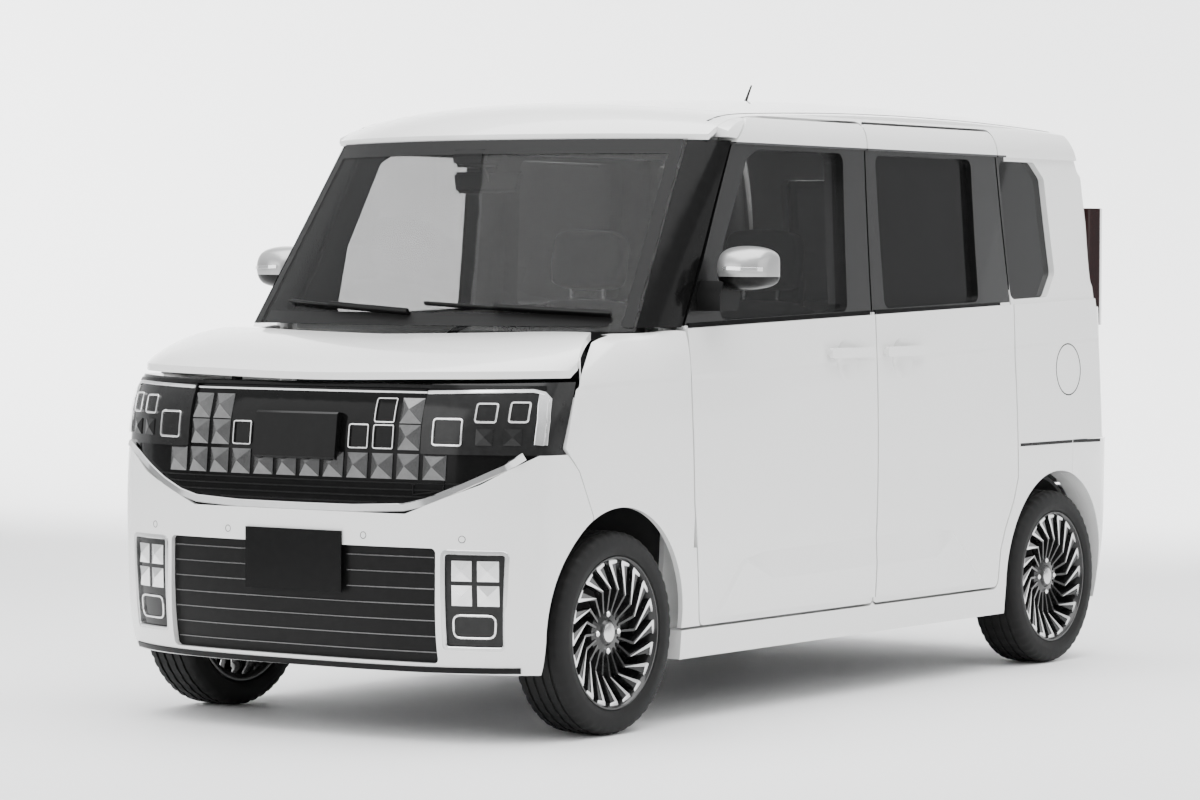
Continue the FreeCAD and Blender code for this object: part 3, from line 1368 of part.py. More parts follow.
def make_rear_axle():
    beam = cylinder_x(36.0, -560.0, 560.0, REAR_AXLE_Y, TYRE_RADIUS)
    pieces = [beam]
    for sign in (1, -1):
        drum = cylinder_x(105.0, 0, 60.0, REAR_AXLE_Y, TYRE_RADIUS)
        drum.translate(vec(560.0, 0, 0))
        arm = box((470.0, 880.0, 176.0), (510.0, REAR_AXLE_Y, TYRE_RADIUS))
        stub = spindle(600.0)
        stub.translate(vec(0, REAR_AXLE_Y, 0))
        piece = drum.fuse([arm, stub])
        pieces.append(piece if sign > 0 else mirrored(piece))
    return fused(pieces).cut(box((-700.0, 800.0, FLOOR_Z - SEAT_GAP),
                                 (700.0, FLOOR_STEP_Y + SEAT_GAP, 300.0)))


def make_exhaust():
    return cylinder_x(EXHAUST_RADIUS, -250.0, 250.0, FLOOR_REAR_Y - EXHAUST_RADIUS,
                      REAR_FLOOR_Z - SEAT_GAP - EXHAUST_RADIUS)


def make_dashboard():
    front = FLOOR_FRONT_Y + FIREWALL + SEAT_GAP
    outline = [(front, 700.0), (-560.0, 700.0), (-560.0, 960.0), (-640.0, 1030.0), (front, 1020.0)]
    dash = prism_x(outline, 1.0, -600.0, 600.0)
    rim = revolved([(0, 172.0), (13.0, 185.0), (0, 198.0), (-13.0, 185.0)], 0, 0, 0)
    rim.rotate(vec(0, 0, 0), vec(0, 1, 0), 90)
    column = box((-28.0, -28.0, -170.0), (28.0, 28.0, 0))
    hub = box((-70.0, -45.0, -30.0), (70.0, 45.0, 0))
    spoke = box((-185.0, -18.0, -22.0), (185.0, 18.0, -4.0))
    wheel = fused([rim, column, hub, spoke])
    wheel.rotate(vec(0, 0, 0), vec(1, 0, 0), -62.0 + 180.0)
    wheel.rotate(vec(0, 0, 0), vec(0, 0, 1), 180.0)
    wheel.translate(vec(-330.0, -440.0, 940.0))
    return dash.fuse(wheel)


def make_front_seat(x):
    base = prism_x([(-480.0, 520.0), (40.0, 500.0), (40.0, 620.0), (-480.0, 660.0)], 40.0, x - 245.0,
                   x + 245.0)
    back = prism_x([(-60.0, 560.0), (60.0, 540.0), (210.0, 1210.0), (120.0, 1230.0)], 40.0, x - 235.0,
                   x + 235.0)
    rest = prism_x([(120.0, 1205.0), (215.0, 1195.0), (235.0, 1390.0), (150.0, 1400.0)], 35.0, x - 120.0,
                   x + 120.0)
    legs = box((x - 200.0, -420.0, FLOOR_Z + FLOOR_THICKNESS), (x + 200.0, 0.0, 505.0))
    return fused([base, back, rest, legs])


def make_rear_seat():
    base = prism_x([(560.0, 520.0), (1020.0, 500.0), (1020.0, 620.0), (560.0, 650.0)], 40.0, -520.0, 520.0)
    back = prism_x([(920.0, 560.0), (1040.0, 540.0), (1180.0, 1180.0), (1090.0, 1200.0)], 40.0, -520.0,
                   520.0)
    legs = box((-420.0, 620.0, FLOOR_Z + FLOOR_THICKNESS), (420.0, 960.0, 505.0))
    return fused([base, back, legs])


# Mirror

MIRROR_SECTIONS = [(746.0, 0.55), (770.0, 0.93), (815.0, 1.0), (860.0, 0.94), (886.0, 0.80), (900.0, 0.52)]
MIRROR_OUTLINE_SHARES = [(-1.0, -0.25), (-0.72, -0.86), (-0.1, -1.0), (0.9, -0.92), (1.0, -0.75),
                         (1.0, 0.70),
                         (0.88, 0.92), (0.1, 1.0), (-0.66, 0.80), (-0.95, 0.30)]
MIRROR_Y = -728.0
MIRROR_Z = 1262.0
MIRROR_HALF_LENGTH = 72.0
MIRROR_HALF_HEIGHT = 66.0


def make_mirror():
    """The mirror's housing, lofted outward, on the foot that stands at the corner of the window."""
    wires = []
    for x, size in MIRROR_SECTIONS:
        middle = MIRROR_Y + MIRROR_HALF_LENGTH * (1 - size) * 0.8
        points = [vec(x, middle + MIRROR_HALF_LENGTH * a * size, MIRROR_Z + MIRROR_HALF_HEIGHT * b * size)
                  for a, b in MIRROR_OUTLINE_SHARES]
        wires.append(Part.makePolygon(points + points[:1]))
    housing = loft(wires, True)
    foot = prism_x([(-800.0, 1140.0), (-700.0, 1142.0), (-690.0, 1215.0), (-780.0, 1225.0)], 10.0, 700.0,
                   790.0)
    return housing.fuse(foot).cut(side_slab(HIGH_SECTION, -SEAT_GAP, DOOR_DEPTH, -900.0, -600.0))


# Wheels

def tyre_profile():
    half = TYRE_WIDTH / 2
    points = [
        (half * 0.80, RIM_RADIUS - BEAD_HEIGHT),
        (half * 0.97, RIM_RADIUS + 18.0),
        (half, RIM_RADIUS + 34.0),
        (half * 0.90, TYRE_RADIUS - 12.0),
        (half * 0.76, TYRE_RADIUS - 3.0),
        (half * 0.35, TYRE_RADIUS),
    ]
    outer = points + [(-a, b) for a, b in points[::-1]]
    return outer


def revolved(points, x, y, z):
    """A ring about an axis along X from (offset, radius) points."""
    loop = [vec(x + a, y, z + b) for a, b in points]
    wire = Part.makePolygon(loop + [loop[0]])
    return Part.Face(wire).revolve(vec(x, y, z), vec(1, 0, 0), 360)


def make_tyre(x, y):
    points = tyre_profile()
    return revolved(points, x, y, TYRE_RADIUS)


def make_blade(side):
    """One blade of the turbine wheel: straight out from the hub, then swept from its knee to the rim."""
    angle = 2 * math.pi / BLADE_COUNT
    start = HUB_RADIUS + 10.0
    end = RIM_RADIUS - 14.0
    corners = []
    for turn_share, reach in BLADE_SHARES:
        radius = start + (end - start) * reach
        turn = angle * (turn_share - BLADE_SWEEP * side * max(radius - BLADE_KNEE, 0) / (end - BLADE_KNEE))
        corners.append(vec(0, -math.sin(turn) * radius, math.cos(turn) * radius))
    face = Part.Face(Part.makePolygon(corners + corners[:1]))
    front = side * (RIM_WIDTH / 2 - 8.0)
    blade = face.extrude(vec(-side * 24.0, 0, 0))
    blade.translate(vec(front, 0, 0))
    return blade


def make_rim(x, y):
    side = 1 if x > 0 else -1
    half = RIM_WIDTH / 2
    seat = RIM_RADIUS - BEAD_HEIGHT - SEAT_GAP
    outside = [
        (half, RIM_RADIUS),
        (half, seat),
        (half * 0.8, seat),
        (half * 0.7, BARREL_RADIUS + 8.0),
        (-half * 0.7, BARREL_RADIUS + 8.0),
        (-half * 0.8, seat),
        (-half, seat),
        (-half, RIM_RADIUS),
        (-half - 4.0, RIM_RADIUS),
        (-half - 4.0, BARREL_RADIUS - 4.0),
        (half * 0.7, BARREL_RADIUS - 4.0),
        (half + 4.0, RIM_RADIUS - 14.0),
        (half + 4.0, RIM_RADIUS),
    ]
    barrel = revolved([(side * a, b) for a, b in outside], x, y, TYRE_RADIUS)
    face_x = x + side * (half - 6.0)
    hub = cylinder_x(HUB_RADIUS + 22.0, min(face_x, face_x - side * 40.0), max(face_x, face_x - side * 40.0),
                     y,
                     TYRE_RADIUS)
    pieces = [barrel, hub]
    blade = make_blade(side)
    pitch = 360.0 / BLADE_COUNT
    for index in range(BLADE_COUNT):
        turned = blade.copy()
        turned.rotate(vec(0, 0, 0), vec(1, 0, 0), pitch * index)
        turned.translate(vec(x, y, TYRE_RADIUS))
        pieces.append(turned)
    bore = cylinder_x(SPINDLE_RADIUS + SEAT_GAP, min(face_x, face_x - side * 50.0),
                      max(face_x, face_x - side * 50.0), y,
                      TYRE_RADIUS)
    return fused(pieces).cut(bore)


def spindle(start):
    """The stub that carries a wheel, from a place near the hub into its bore."""
    hub_x = WHEEL_X + RIM_WIDTH / 2 - 46.0
    shoulder = cylinder_x(SPINDLE_RADIUS * 2, start, hub_x - SEAT_GAP, 0, TYRE_RADIUS)
    tip = cylinder_x(SPINDLE_RADIUS, start, hub_x + 28.0, 0, TYRE_RADIUS)
    return shoulder.fuse(tip)


def make_knuckle():
    y = FRONT_AXLE_Y
    strut = pivot_rod(STRUT_RADIUS, -0.02, 1.05)
    spring = pivot_rod(SPRING_RADIUS, 0.68, 0.95)
    carrier = box((PIVOT_LOW_X - 40.0, y - 45.0, TYRE_RADIUS - 50.0),
                  (PIVOT_LOW_X + 42.0, y + 45.0, TYRE_RADIUS + 50.0))
    disc = cylinder_x(DISC_RADIUS, PIVOT_LOW_X + 40.0, PIVOT_LOW_X + 58.0, y, TYRE_RADIUS)
    stub = spindle(PIVOT_LOW_X + 30.0)
    stub.translate(vec(0, y, 0))
    return fused([strut, spring, carrier, disc, stub])


# The whole part

def save(shape, name):
    if shape.ShapeType == "Compound" and len(shape.Solids) == 1:
        shape = shape.Solids[0]
    shape.exportStep("parts/" + name + ".step")


def make_all():
    roof_cut_door = above_roof(MOVING_GAP)
    edge_room = under_roof_edge(MOVING_GAP)
    roof_cut_side = above_roof(SEAT_GAP)
    rear_room = rear_bumper_region()
    side = make_body_side(roof_cut_side).cut(rear_room)
    side = largest(side.cut(tail_lamp_prism(SEAT_GAP)))
    side_right = mirrored(side)
    parts = {
        "body_side_left": side,
        "body_side_right": side_right,
        "floor_pan": largest(make_floor([side, side_right, rear_room])),
        "roof": make_roof(),
        "windshield": make_windshield().cut(box((-X_OUT, NOSE_Y, SHIELD_END_Z), (X_OUT, 0, HEIGHT))),
        "cowl": make_cowl(),
        "bumper_front": make_front_bumper(),
        "grille_upper": make_grille_upper(),
        "grille_lower": make_grille_lower(),
        "plate_front": make_front_plate(),
        "bumper_rear": make_rear_bumper(),
        "front_frame": make_front_frame(),
        "engine_block": make_engine(),
        "rear_axle": make_rear_axle(),
        "exhaust": make_exhaust(),
        "dashboard": make_dashboard(),
        "seat_rear": make_rear_seat(),
        "hood": make_hood(),
        "tailgate": make_tailgate(),
        "tailgate_glass": make_tailgate_glass(),
    }
    seat = make_front_seat(320.0)
    parts["seats_front"] = Part.makeCompound([seat, mirrored(seat)])
    pillar = make_front_pillar().cut(box((-X_OUT, NOSE_Y, PILLAR_END_Z), (X_OUT, 0, HEIGHT)))
    parts["front_pillars"] = Part.makeCompound([pillar, mirrored(pillar)])
    lamp = make_headlamp()
    parts["headlamps"] = Part.makeCompound(lamp.Solids + mirrored(lamp).Solids)
    fog = make_fog()
    parts["fog_lamps"] = Part.makeCompound(fog.Solids + mirrored(fog).Solids)
    tail = tail_lamp_prism(0)
    parts["tail_lamps"] = Part.makeCompound(tail.Solids + mirrored(tail).Solids)
    panes = [pane(slide_window_points()), pane(quarter_window_points())]
    parts["glass_side"] = Part.makeCompound(panes + [mirrored(p) for p in panes])
    paired = {
        "fender": make_fender(),
        "slide_door": make_slide_door(roof_cut_door).cut(edge_room),
        "door": make_front_door(roof_cut_door).cut(edge_room),
        "door_glass": pane(front_window_points()),
        "mirror": make_mirror(),
        "knuckle": make_knuckle(),
    }
    for name, shape in paired.items():
        parts[name + "_left"] = shape
        parts[name + "_right"] = mirrored(shape)
    for place, y in (("front", FRONT_AXLE_Y), ("rear", REAR_AXLE_Y)):
        for hand, x in (("left", WHEEL_X), ("right", -WHEEL_X)):
            parts["tyre_" + place + "_" + hand] = make_tyre(x, y)
            parts["rim_" + place + "_" + hand] = make_rim(x, y)
    return parts


os.makedirs("parts", exist_ok=True)
for part_name, part_shape in make_all().items():
    save(part_shape, part_name)
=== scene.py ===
import bmesh
import bpy
import math
from mathutils import Matrix, Vector
from mathutils.bvhtree import BVHTree


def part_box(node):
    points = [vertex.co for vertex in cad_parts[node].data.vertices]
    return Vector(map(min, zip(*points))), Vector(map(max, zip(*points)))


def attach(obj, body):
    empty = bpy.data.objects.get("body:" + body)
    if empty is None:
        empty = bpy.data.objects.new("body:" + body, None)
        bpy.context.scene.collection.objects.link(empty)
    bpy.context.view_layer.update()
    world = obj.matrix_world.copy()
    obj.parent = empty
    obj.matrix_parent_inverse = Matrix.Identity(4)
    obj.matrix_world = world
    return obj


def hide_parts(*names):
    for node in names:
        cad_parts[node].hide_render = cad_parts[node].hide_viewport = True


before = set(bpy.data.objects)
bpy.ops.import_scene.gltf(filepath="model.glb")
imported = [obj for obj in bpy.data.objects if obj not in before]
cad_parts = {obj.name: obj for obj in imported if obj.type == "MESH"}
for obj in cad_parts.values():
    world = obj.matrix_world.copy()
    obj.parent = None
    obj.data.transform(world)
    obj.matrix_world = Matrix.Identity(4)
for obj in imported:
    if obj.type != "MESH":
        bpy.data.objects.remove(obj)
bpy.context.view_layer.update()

# Places taken from the frame
wheel_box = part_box("tyre_front_left")
rear_wheel_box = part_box("tyre_rear_left")
TYRE_RADIUS = (wheel_box[1][2] - wheel_box[0][2]) / 2
TYRE_WIDTH = wheel_box[1][0] - wheel_box[0][0]
WHEEL_X = (wheel_box[1][0] + wheel_box[0][0]) / 2
FRONT_AXLE_Y = (wheel_box[1][1] + wheel_box[0][1]) / 2
REAR_AXLE_Y = (rear_wheel_box[1][1] + rear_wheel_box[0][1]) / 2
RIM_RADIUS = 0.207


# Materials

def set_inputs(node, values):
    for socket, value in values.items():
        node.inputs[socket].default_value = value


class Paint:
    """A material and the few kinds of node it is made of."""

    def __init__(self, name):
        self.material = bpy.data.materials.new(name)
        self.material.use_nodes = True
        self.nodes = self.material.node_tree.nodes
        self.links = self.material.node_tree.links
        self.shader = self.nodes["Principled BSDF"]

    def set(self, values):
        set_inputs(self.shader, values)

    def into(self, output, socket):
        self.links.new(output, self.shader.inputs[socket])

    def place(self):
        return self.nodes.new("ShaderNodeTexCoord").outputs["Object"]

    def axes(self):
        split = self.nodes.new("ShaderNodeSeparateXYZ")
        self.links.new(self.place(), split.inputs[0])
        return split.outputs

    def noise(self, scale, detail=4.0, stretch=(1, 1, 1)):
        mapping = self.nodes.new("ShaderNodeMapping")
        mapping.inputs["Scale"].default_value = stretch
        self.links.new(self.place(), mapping.inputs["Vector"])
        noise = self.nodes.new("ShaderNodeTexNoise")
        set_inputs(noise, {"Scale": scale, "Detail": detail})
        self.links.new(mapping.outputs["Vector"], noise.inputs["Vector"])
        return noise.outputs["Fac"]

    def span(self, value, low, high):
        """A value from nothing to one, spread from low to high."""
        node = self.nodes.new("ShaderNodeMapRange")
        set_inputs(node, {"To Min": low, "To Max": high})
        self.links.new(value, node.inputs["Value"])
        return node.outputs["Result"]

    def mix(self, factor, first, second):
        """A colour mix; first and second are colours or sockets."""
        node = self.nodes.new("ShaderNodeMix")
        node.data_type = "RGBA"
        self.links.new(factor, node.inputs["Factor"])
        for socket, value in ((node.inputs[6], first), (node.inputs[7], second)):
            if isinstance(value, tuple):
                socket.default_value = value
            else:
                self.links.new(value, socket)
        return node.outputs[2]

    def math(self, operation, first, second):
        node = self.nodes.new("ShaderNodeMath")
        node.operation = operation
        for index, value in enumerate((first, second)):
            if isinstance(value, float):
                node.inputs[index].default_value = value
            else:
                self.links.new(value, node.inputs[index])
        return node.outputs[0]

    def bump(self, height, strength, distance):
        node = self.nodes.new("ShaderNodeBump")
        set_inputs(node, {"Strength": strength, "Distance": distance})
        self.links.new(height, node.inputs["Height"])
        self.into(node.outputs["Normal"], "Normal")


def grey(value, alpha=1.0):
    return (value, value, value, alpha)


def plain(name, low, high, roughness, metallic=0.0, scale=40.0, bump=0.0, coat=0.0, specular=0.5):
    """A material whose colour and roughness vary a little, with a fine grain if bump is given."""
    paint = Paint(name)
    noise = paint.noise(scale)
    paint.into(paint.mix(noise, low, high), "Base Color")
    paint.into(paint.span(noise, roughness * 0.85, roughness * 1.15), "Roughness")
    paint.set({"Metallic": metallic, "Coat Weight": coat, "Coat Roughness": 0.03,
               "Specular IOR Level": specular})
    if bump:
        paint.bump(paint.noise(scale * 20), bump, 0.001)
    return paint.material


PAINT_COAT = 0.8
BLACK_COAT = 0.15


def paint_base(name):
    paint = Paint(name)
    paint.set({"Coat Weight": PAINT_COAT, "Coat Roughness": 0.02, "Specular IOR Level": 0.5})
    return paint


def pearl(paint):
    """White pearl paint: two near whites in fine flakes."""
    flakes = paint.noise(900.0, 2.0)
    return paint.mix(flakes, (0.80, 0.80, 0.79, 1), (0.87, 0.87, 0.865, 1))


SHOULDER_Z = 0.988
SHOULDER_RISE = 0.0305


def add_shoulder(paint):
    """The crease along the car's shoulder, as relief over the side view."""
    x, y, z = paint.axes()
    slope = paint.math("MULTIPLY", y, SHOULDER_RISE)
    level = paint.math("SUBTRACT", paint.math("SUBTRACT", z, slope), SHOULDER_Z)
    ramp = paint.nodes.new("ShaderNodeMapRange")
    ramp.interpolation_type = "SMOOTHSTEP"
    set_inputs(ramp, {"From Min": -0.012, "From Max": 0.006})
    paint.links.new(level, ramp.inputs["Value"])
    paint.bump(ramp.outputs["Result"], 1.0, 0.004)


def make_white(name="white_pearl", shoulder=False):
    paint = paint_base(name)
    if shoulder:
        add_shoulder(paint)
    paint.into(pearl(paint), "Base Color")
    paint.into(paint.span(paint.noise(300.0), 0.22, 0.3), "Roughness")
    return paint.material


BELT_Z = 1.132
BELT_RISE = 0.0296
BELT_Y = 0.150
RAIL_BOTTOM_Z = 1.618
BLACK_REAR_Y = 1.005


def make_two_tone():
    """White below the belt and on the upper rail, gloss black round the side windows."""
    paint = paint_base("white_and_black")
    x, y, z = paint.axes()
    slope = paint.math("MULTIPLY", y, BELT_RISE)
    level = paint.math("SUBTRACT", z, slope)
    above_belt = paint.math("GREATER_THAN", level, BELT_Z - BELT_Y * BELT_RISE)
    below_rail = paint.math("LESS_THAN", z, RAIL_BOTTOM_Z)
    ahead = paint.math("LESS_THAN", y, BLACK_REAR_Y)
    between = paint.math("MULTIPLY", above_belt, below_rail)
    black = paint.math("MULTIPLY", between, ahead)
    paint.into(paint.mix(black, pearl(paint), grey(0.006)), "Base Color")
    add_shoulder(paint)
    paint.into(paint.span(paint.noise(300.0), 0.2, 0.28), "Roughness")
    paint.into(paint.span(black, PAINT_COAT, BLACK_COAT), "Coat Weight")
    return paint.material


def make_glass(name, colour, alpha, coat=0.15, specular=0.4):
    paint = Paint(name)
    dust = paint.noise(6.0)
    paint.into(paint.mix(dust, grey(colour), grey(colour * 1.3 + 0.002)), "Base Color")
    paint.set({"Roughness": 0.02, "IOR": 1.5, "Alpha": alpha, "Specular IOR Level": specular,
               "Coat Weight": coat, "Coat Roughness": 0.01})
    return paint.material


def make_rubber():
    paint = Paint("tyre_rubber")
    noise = paint.noise(60.0)
    paint.into(paint.mix(noise, grey(0.006), grey(0.013)), "Base Color")
    paint.into(paint.span(noise, 0.55, 0.75), "Roughness")
    paint.set({"Specular IOR Level": 0.2})
    paint.bump(paint.noise(900.0), 0.3, 0.0006)
    return paint.material


def make_machined():
    """Turned metal: fine rings about the wheel's axle, which runs along the object's own X."""
    paint = Paint("machined_alloy")
    noise = paint.noise(30.0, 3.0, (1, 8, 8))
    paint.into(paint.mix(noise, grey(0.72), grey(0.86)), "Base Color")
    paint.into(paint.span(noise, 0.16, 0.3), "Roughness")
    paint.set({"Metallic": 1.0})
    return paint.material


def make_fabric(name, dark, light):
    paint = Paint(name)
    weave = paint.nodes.new("ShaderNodeTexWave")
    set_inputs(weave, {"Scale": 260.0, "Distortion": 1.5})
    weave.bands_direction = "DIAGONAL"
    paint.links.new(paint.place(), weave.inputs["Vector"])
    tone = paint.noise(25.0)
    paint.into(paint.mix(tone, dark, light), "Base Color")
    paint.set({"Roughness": 0.9, "Sheen Weight": 0.35})
    paint.bump(weave.outputs["Fac"], 0.35, 0.0008)
    return paint.material


def make_lamp_red():
    paint = Paint("red_lens")
    noise = paint.noise(25.0)
    paint.into(paint.mix(noise, (0.006, 0.001, 0.001, 1), (0.014, 0.0015, 0.0015, 1)), "Base Color")
    paint.set({"Roughness": 0.12, "Coat Weight": 0.1, "Specular IOR Level": 0.3})
    return paint.material


MIRROR_SPLIT_Z = 1.238


def make_mirror_material():
    """Satin silver above, satin black in the lower third of the mirror."""
    paint = Paint("mirror_silver")
    x, y, z = paint.axes()
    upper = paint.math("GREATER_THAN", z, MIRROR_SPLIT_Z)
    tone = paint.mix(paint.noise(200.0), grey(0.38), grey(0.46))
    paint.into(paint.mix(upper, grey(0.006), tone), "Base Color")
    paint.set({"Metallic": 0.7, "Roughness": 0.28})
    return paint.material


WHITE = make_white()
WHITE_SIDE = make_white("white_side", True)
TWO_TONE = make_two_tone()
GLOSS_BLACK = plain("gloss_black", grey(0.003), grey(0.006), 0.12, coat=0.02, specular=0.09)
SATIN_BLACK = plain("satin_black", grey(0.004), grey(0.008), 0.35, bump=0.1, specular=0.12)
MATT_BLACK = plain("matt_black", grey(0.007), grey(0.014), 0.6, bump=0.3, specular=0.2)
SHUT_LINE = plain("shut_line", grey(0.004), grey(0.008), 0.8)
MIRROR_TWO_TONE = make_mirror_material()
CHROME = plain("chrome", grey(0.75), grey(0.85), 0.07, 1.0)
SATIN_CHROME = plain("satin_chrome", grey(0.55), grey(0.66), 0.22, 1.0)
SILVER = plain("satin_silver", grey(0.42), grey(0.52), 0.3, 0.85, coat=0.5)
ALLOY_BLACK = plain("alloy_black", grey(0.010), grey(0.02), 0.16, 0.1, coat=0.2, specular=0.35)
MACHINED = make_machined()
RUBBER = make_rubber()
CLEAR_GLASS = make_glass("clear_glass", 0.01, 0.22)
FRONT_GLASS = make_glass("front_door_glass", 0.008, 0.5)
DARK_GLASS = make_glass("privacy_glass", 0.004, 0.93, 0.1, 0.3)
LAMP_DARK = plain("lamp_housing", grey(0.008), grey(0.02), 0.14, 0.1, specular=0.25)
GRILLE_LINE = plain("grille_line", grey(0.10), grey(0.15), 0.25, 0.9)
LAMP_BRIGHT = plain("lamp_reflector", grey(0.7), grey(0.95), 0.12, 0.9)
RED_LENS = make_lamp_red()
STEEL = plain("coated_steel", grey(0.015), grey(0.04), 0.5, 0.4, bump=0.3)
CAST = plain("cast_grey", grey(0.06), grey(0.14), 0.55, 0.6, bump=0.5)
EXHAUST_STEEL = plain("exhaust_steel", grey(0.18), grey(0.3), 0.4, 0.9, bump=0.2)
UNDERBODY = plain("underbody", grey(0.015), grey(0.035), 0.75, bump=0.6)
CABIN = plain("cabin_plastic", grey(0.010), grey(0.02), 0.55, bump=0.1, specular=0.3)
FABRIC = make_fabric("seat_fabric", grey(0.035), grey(0.07))

NODE_MATERIALS = {
    "roof": WHITE, "hood": WHITE, "fender_left": WHITE_SIDE, "fender_right": WHITE_SIDE,
    "bumper_front": WHITE, "bumper_rear": WHITE, "tailgate": WHITE, 
    "body_side_left": TWO_TONE, "body_side_right": TWO_TONE, "door_left": TWO_TONE, "door_right": TWO_TONE,
    "slide_door_left": TWO_TONE, "slide_door_right": TWO_TONE,
    "windshield": CLEAR_GLASS, "door_glass_left": FRONT_GLASS, "door_glass_right": FRONT_GLASS,
    "glass_side": DARK_GLASS, "tailgate_glass": DARK_GLASS, "cowl": SATIN_BLACK,
    "front_pillars": GLOSS_BLACK, "grille_upper": GLOSS_BLACK, "grille_lower": SATIN_BLACK,
    "headlamps": LAMP_DARK, "fog_lamps": LAMP_DARK,
    "tail_lamps": RED_LENS, "plate_front": GLOSS_BLACK, "mirror_left": SILVER, "mirror_right": SILVER,
    "floor_pan": UNDERBODY, "front_frame": STEEL, "rear_axle": STEEL, "knuckle_left": STEEL,
    "knuckle_right": STEEL, "engine_block": CAST, "exhaust": EXHAUST_STEEL, "dashboard": CABIN,
    "seats_front": FABRIC, "seat_rear": FABRIC,
}


def dress_node(node, material):
    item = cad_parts[node]
    item.data.materials.clear()
    item.data.materials.append(material)


for node_name, node_material in NODE_MATERIALS.items():
    dress_node(node_name, node_material)
for node_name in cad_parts:
    if node_name.startswith("tyre"):
        dress_node(node_name, RUBBER)
    elif node_name.startswith("rim"):
        dress_node(node_name, ALLOY_BLACK)


# Pieces

def add_piece(name, shape, material, body="root", smooth=False):
    """A visible piece from its vertices and faces, riding a body."""
    verts, faces = shape
    mesh = bpy.data.meshes.new(name)
    mesh.from_pydata([tuple(v) for v in verts], [], faces)
    mesh.update()
    tool = bmesh.new()
    tool.from_mesh(mesh)
    bmesh.ops.remove_doubles(tool, verts=tool.verts, dist=0.00001)
    bmesh.ops.recalc_face_normals(tool, faces=tool.faces)
    tool.to_mesh(mesh)
    tool.free()
    item = bpy.data.objects.new(name, mesh)
    bpy.context.scene.collection.objects.link(item)
    mesh.materials.append(material)
    if smooth:
        mesh.shade_smooth()
        modifier = item.modifiers.new("edges", "EDGE_SPLIT")
        modifier.split_angle = math.radians(35)
    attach(item, body)
    return item


def tree_of(*names):
    """A search tree over the faces of some CAD nodes."""
    verts = []
    faces = []
    for name in names:
        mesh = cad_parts[name].data
        start = len(verts)
        verts += [v.co.copy() for v in mesh.vertices]
        faces += [[start + index for index in polygon.vertices] for polygon in mesh.polygons]
    return BVHTree.FromPolygons(verts, faces)


SIDE_TREES = {}
for side_name, hand_sign in (("left", 1), ("right", -1)):
    side_nodes = [title + side_name for title in ("body_side_", "door_", "slide_door_", "fender_")]
    SIDE_TREES[hand_sign] = tree_of(*side_nodes, "bumper_front", "bumper_rear")
FRONT_TREE = tree_of("bumper_front", "grille_upper", "grille_lower", "headlamps", "fog_lamps")
PANEL_TREE = tree_of("grille_upper", "headlamps")
ROOF_TREE = tree_of("roof")
SHIELD_TREE = tree_of("windshield")
REAR_TREE = tree_of("tailgate", "tailgate_glass", "bumper_rear", "body_side_left", "body_side_right",
                    "tail_lamps")

# Where rays start, clear of the car on each side
START_X = 1.1
START_FRONT_Y = -2.2
START_REAR_Y = 2.4
START_Z = 2.2
BACKWARD = Vector((0, 1, 0))
DOWNWARD = Vector((0, 0, -1))


def side_word(hand):
    return "left" if hand > 0 else "right"


def tree_hit(tree, start, direction):
    """The place and outward normal where a ray first meets a tree, or None."""
    hit = tree.ray_cast(Vector(start), Vector(direction))
    if hit[0] is None:
        return None
    normal = hit[1] if hit[1].dot(Vector(direction)) < 0 else -hit[1]
    return hit[0], normal


def on_side(y, z, hand):
    """The outer surface of the car's side at a place in the side view, with its outward normal."""
    return tree_hit(SIDE_TREES[hand], (hand * START_X, y, z), (-hand, 0, 0))


def on_front(x, z):
    """The outer surface of the nose at a place in the front view, with its outward normal."""
    return tree_hit(FRONT_TREE, (x, START_FRONT_Y, z), BACKWARD)


def on_panel(x, z):
    return tree_hit(PANEL_TREE, (x, START_FRONT_Y, z), BACKWARD)


def on_shield(x, z):
    return tree_hit(SHIELD_TREE, (x, START_FRONT_Y, z), BACKWARD)


def on_rear(x, z):
    return tree_hit(REAR_TREE, (x, START_REAR_Y, z), -BACKWARD)


def sweep(path, profile, closed=False):
    """Vertices and faces of a profile of (across, out) pairs carried along (place, normal) pairs."""
    verts = []
    faces = []
    count = len(path)
    size = len(profile)
    for index, (place, normal) in enumerate(path):
        before = path[index - 1][0] if index or closed else place
        after = path[(index + 1) % count][0] if index < count - 1 or closed else place
        across = (after - before).normalized().cross(normal).normalized()
        verts += [place + across * u + normal * v for u, v in profile]
    for index in range(count if closed else count - 1):
        following = (index + 1) % count
        for step in range(size):
            other = (step + 1) % size
            faces.append([index * size + step, index * size + other, following * size + other,
                          following * size + step])
    if not closed:
        faces.append(list(range(size)))
        faces.append([(count - 1) * size + step for step in range(size)])
    return verts, faces


def bar_profile(width, height, sink=0.002):
    """A bar's section with broken edges, sunk a little into what carries it."""
    half = width / 2
    edge = min(height, width) * 0.25
    return [(-half, -sink), (-half, height - edge), (edge - half, height), (half - edge, height),
            (half, height - edge), (half, -sink)]


def join(parts):
    verts = []
    faces = []
    for part_verts, part_faces in parts:
        start = len(verts)
        verts += part_verts
        faces += [[start + index for index in face] for face in part_faces]
    return verts, faces


def smooth_line(points, step):
    """Places along a polyline of pairs, one every step."""
    result = [points[0]]
    for low, high in zip(points, points[1:]):
        length = math.dist(low, high)
        count = max(int(length / step), 1)
        for index in range(1, count + 1):
            share = index / count
            result.append((low[0] + (high[0] - low[0]) * share, low[1] + (high[1] - low[1]) * share))
    return result


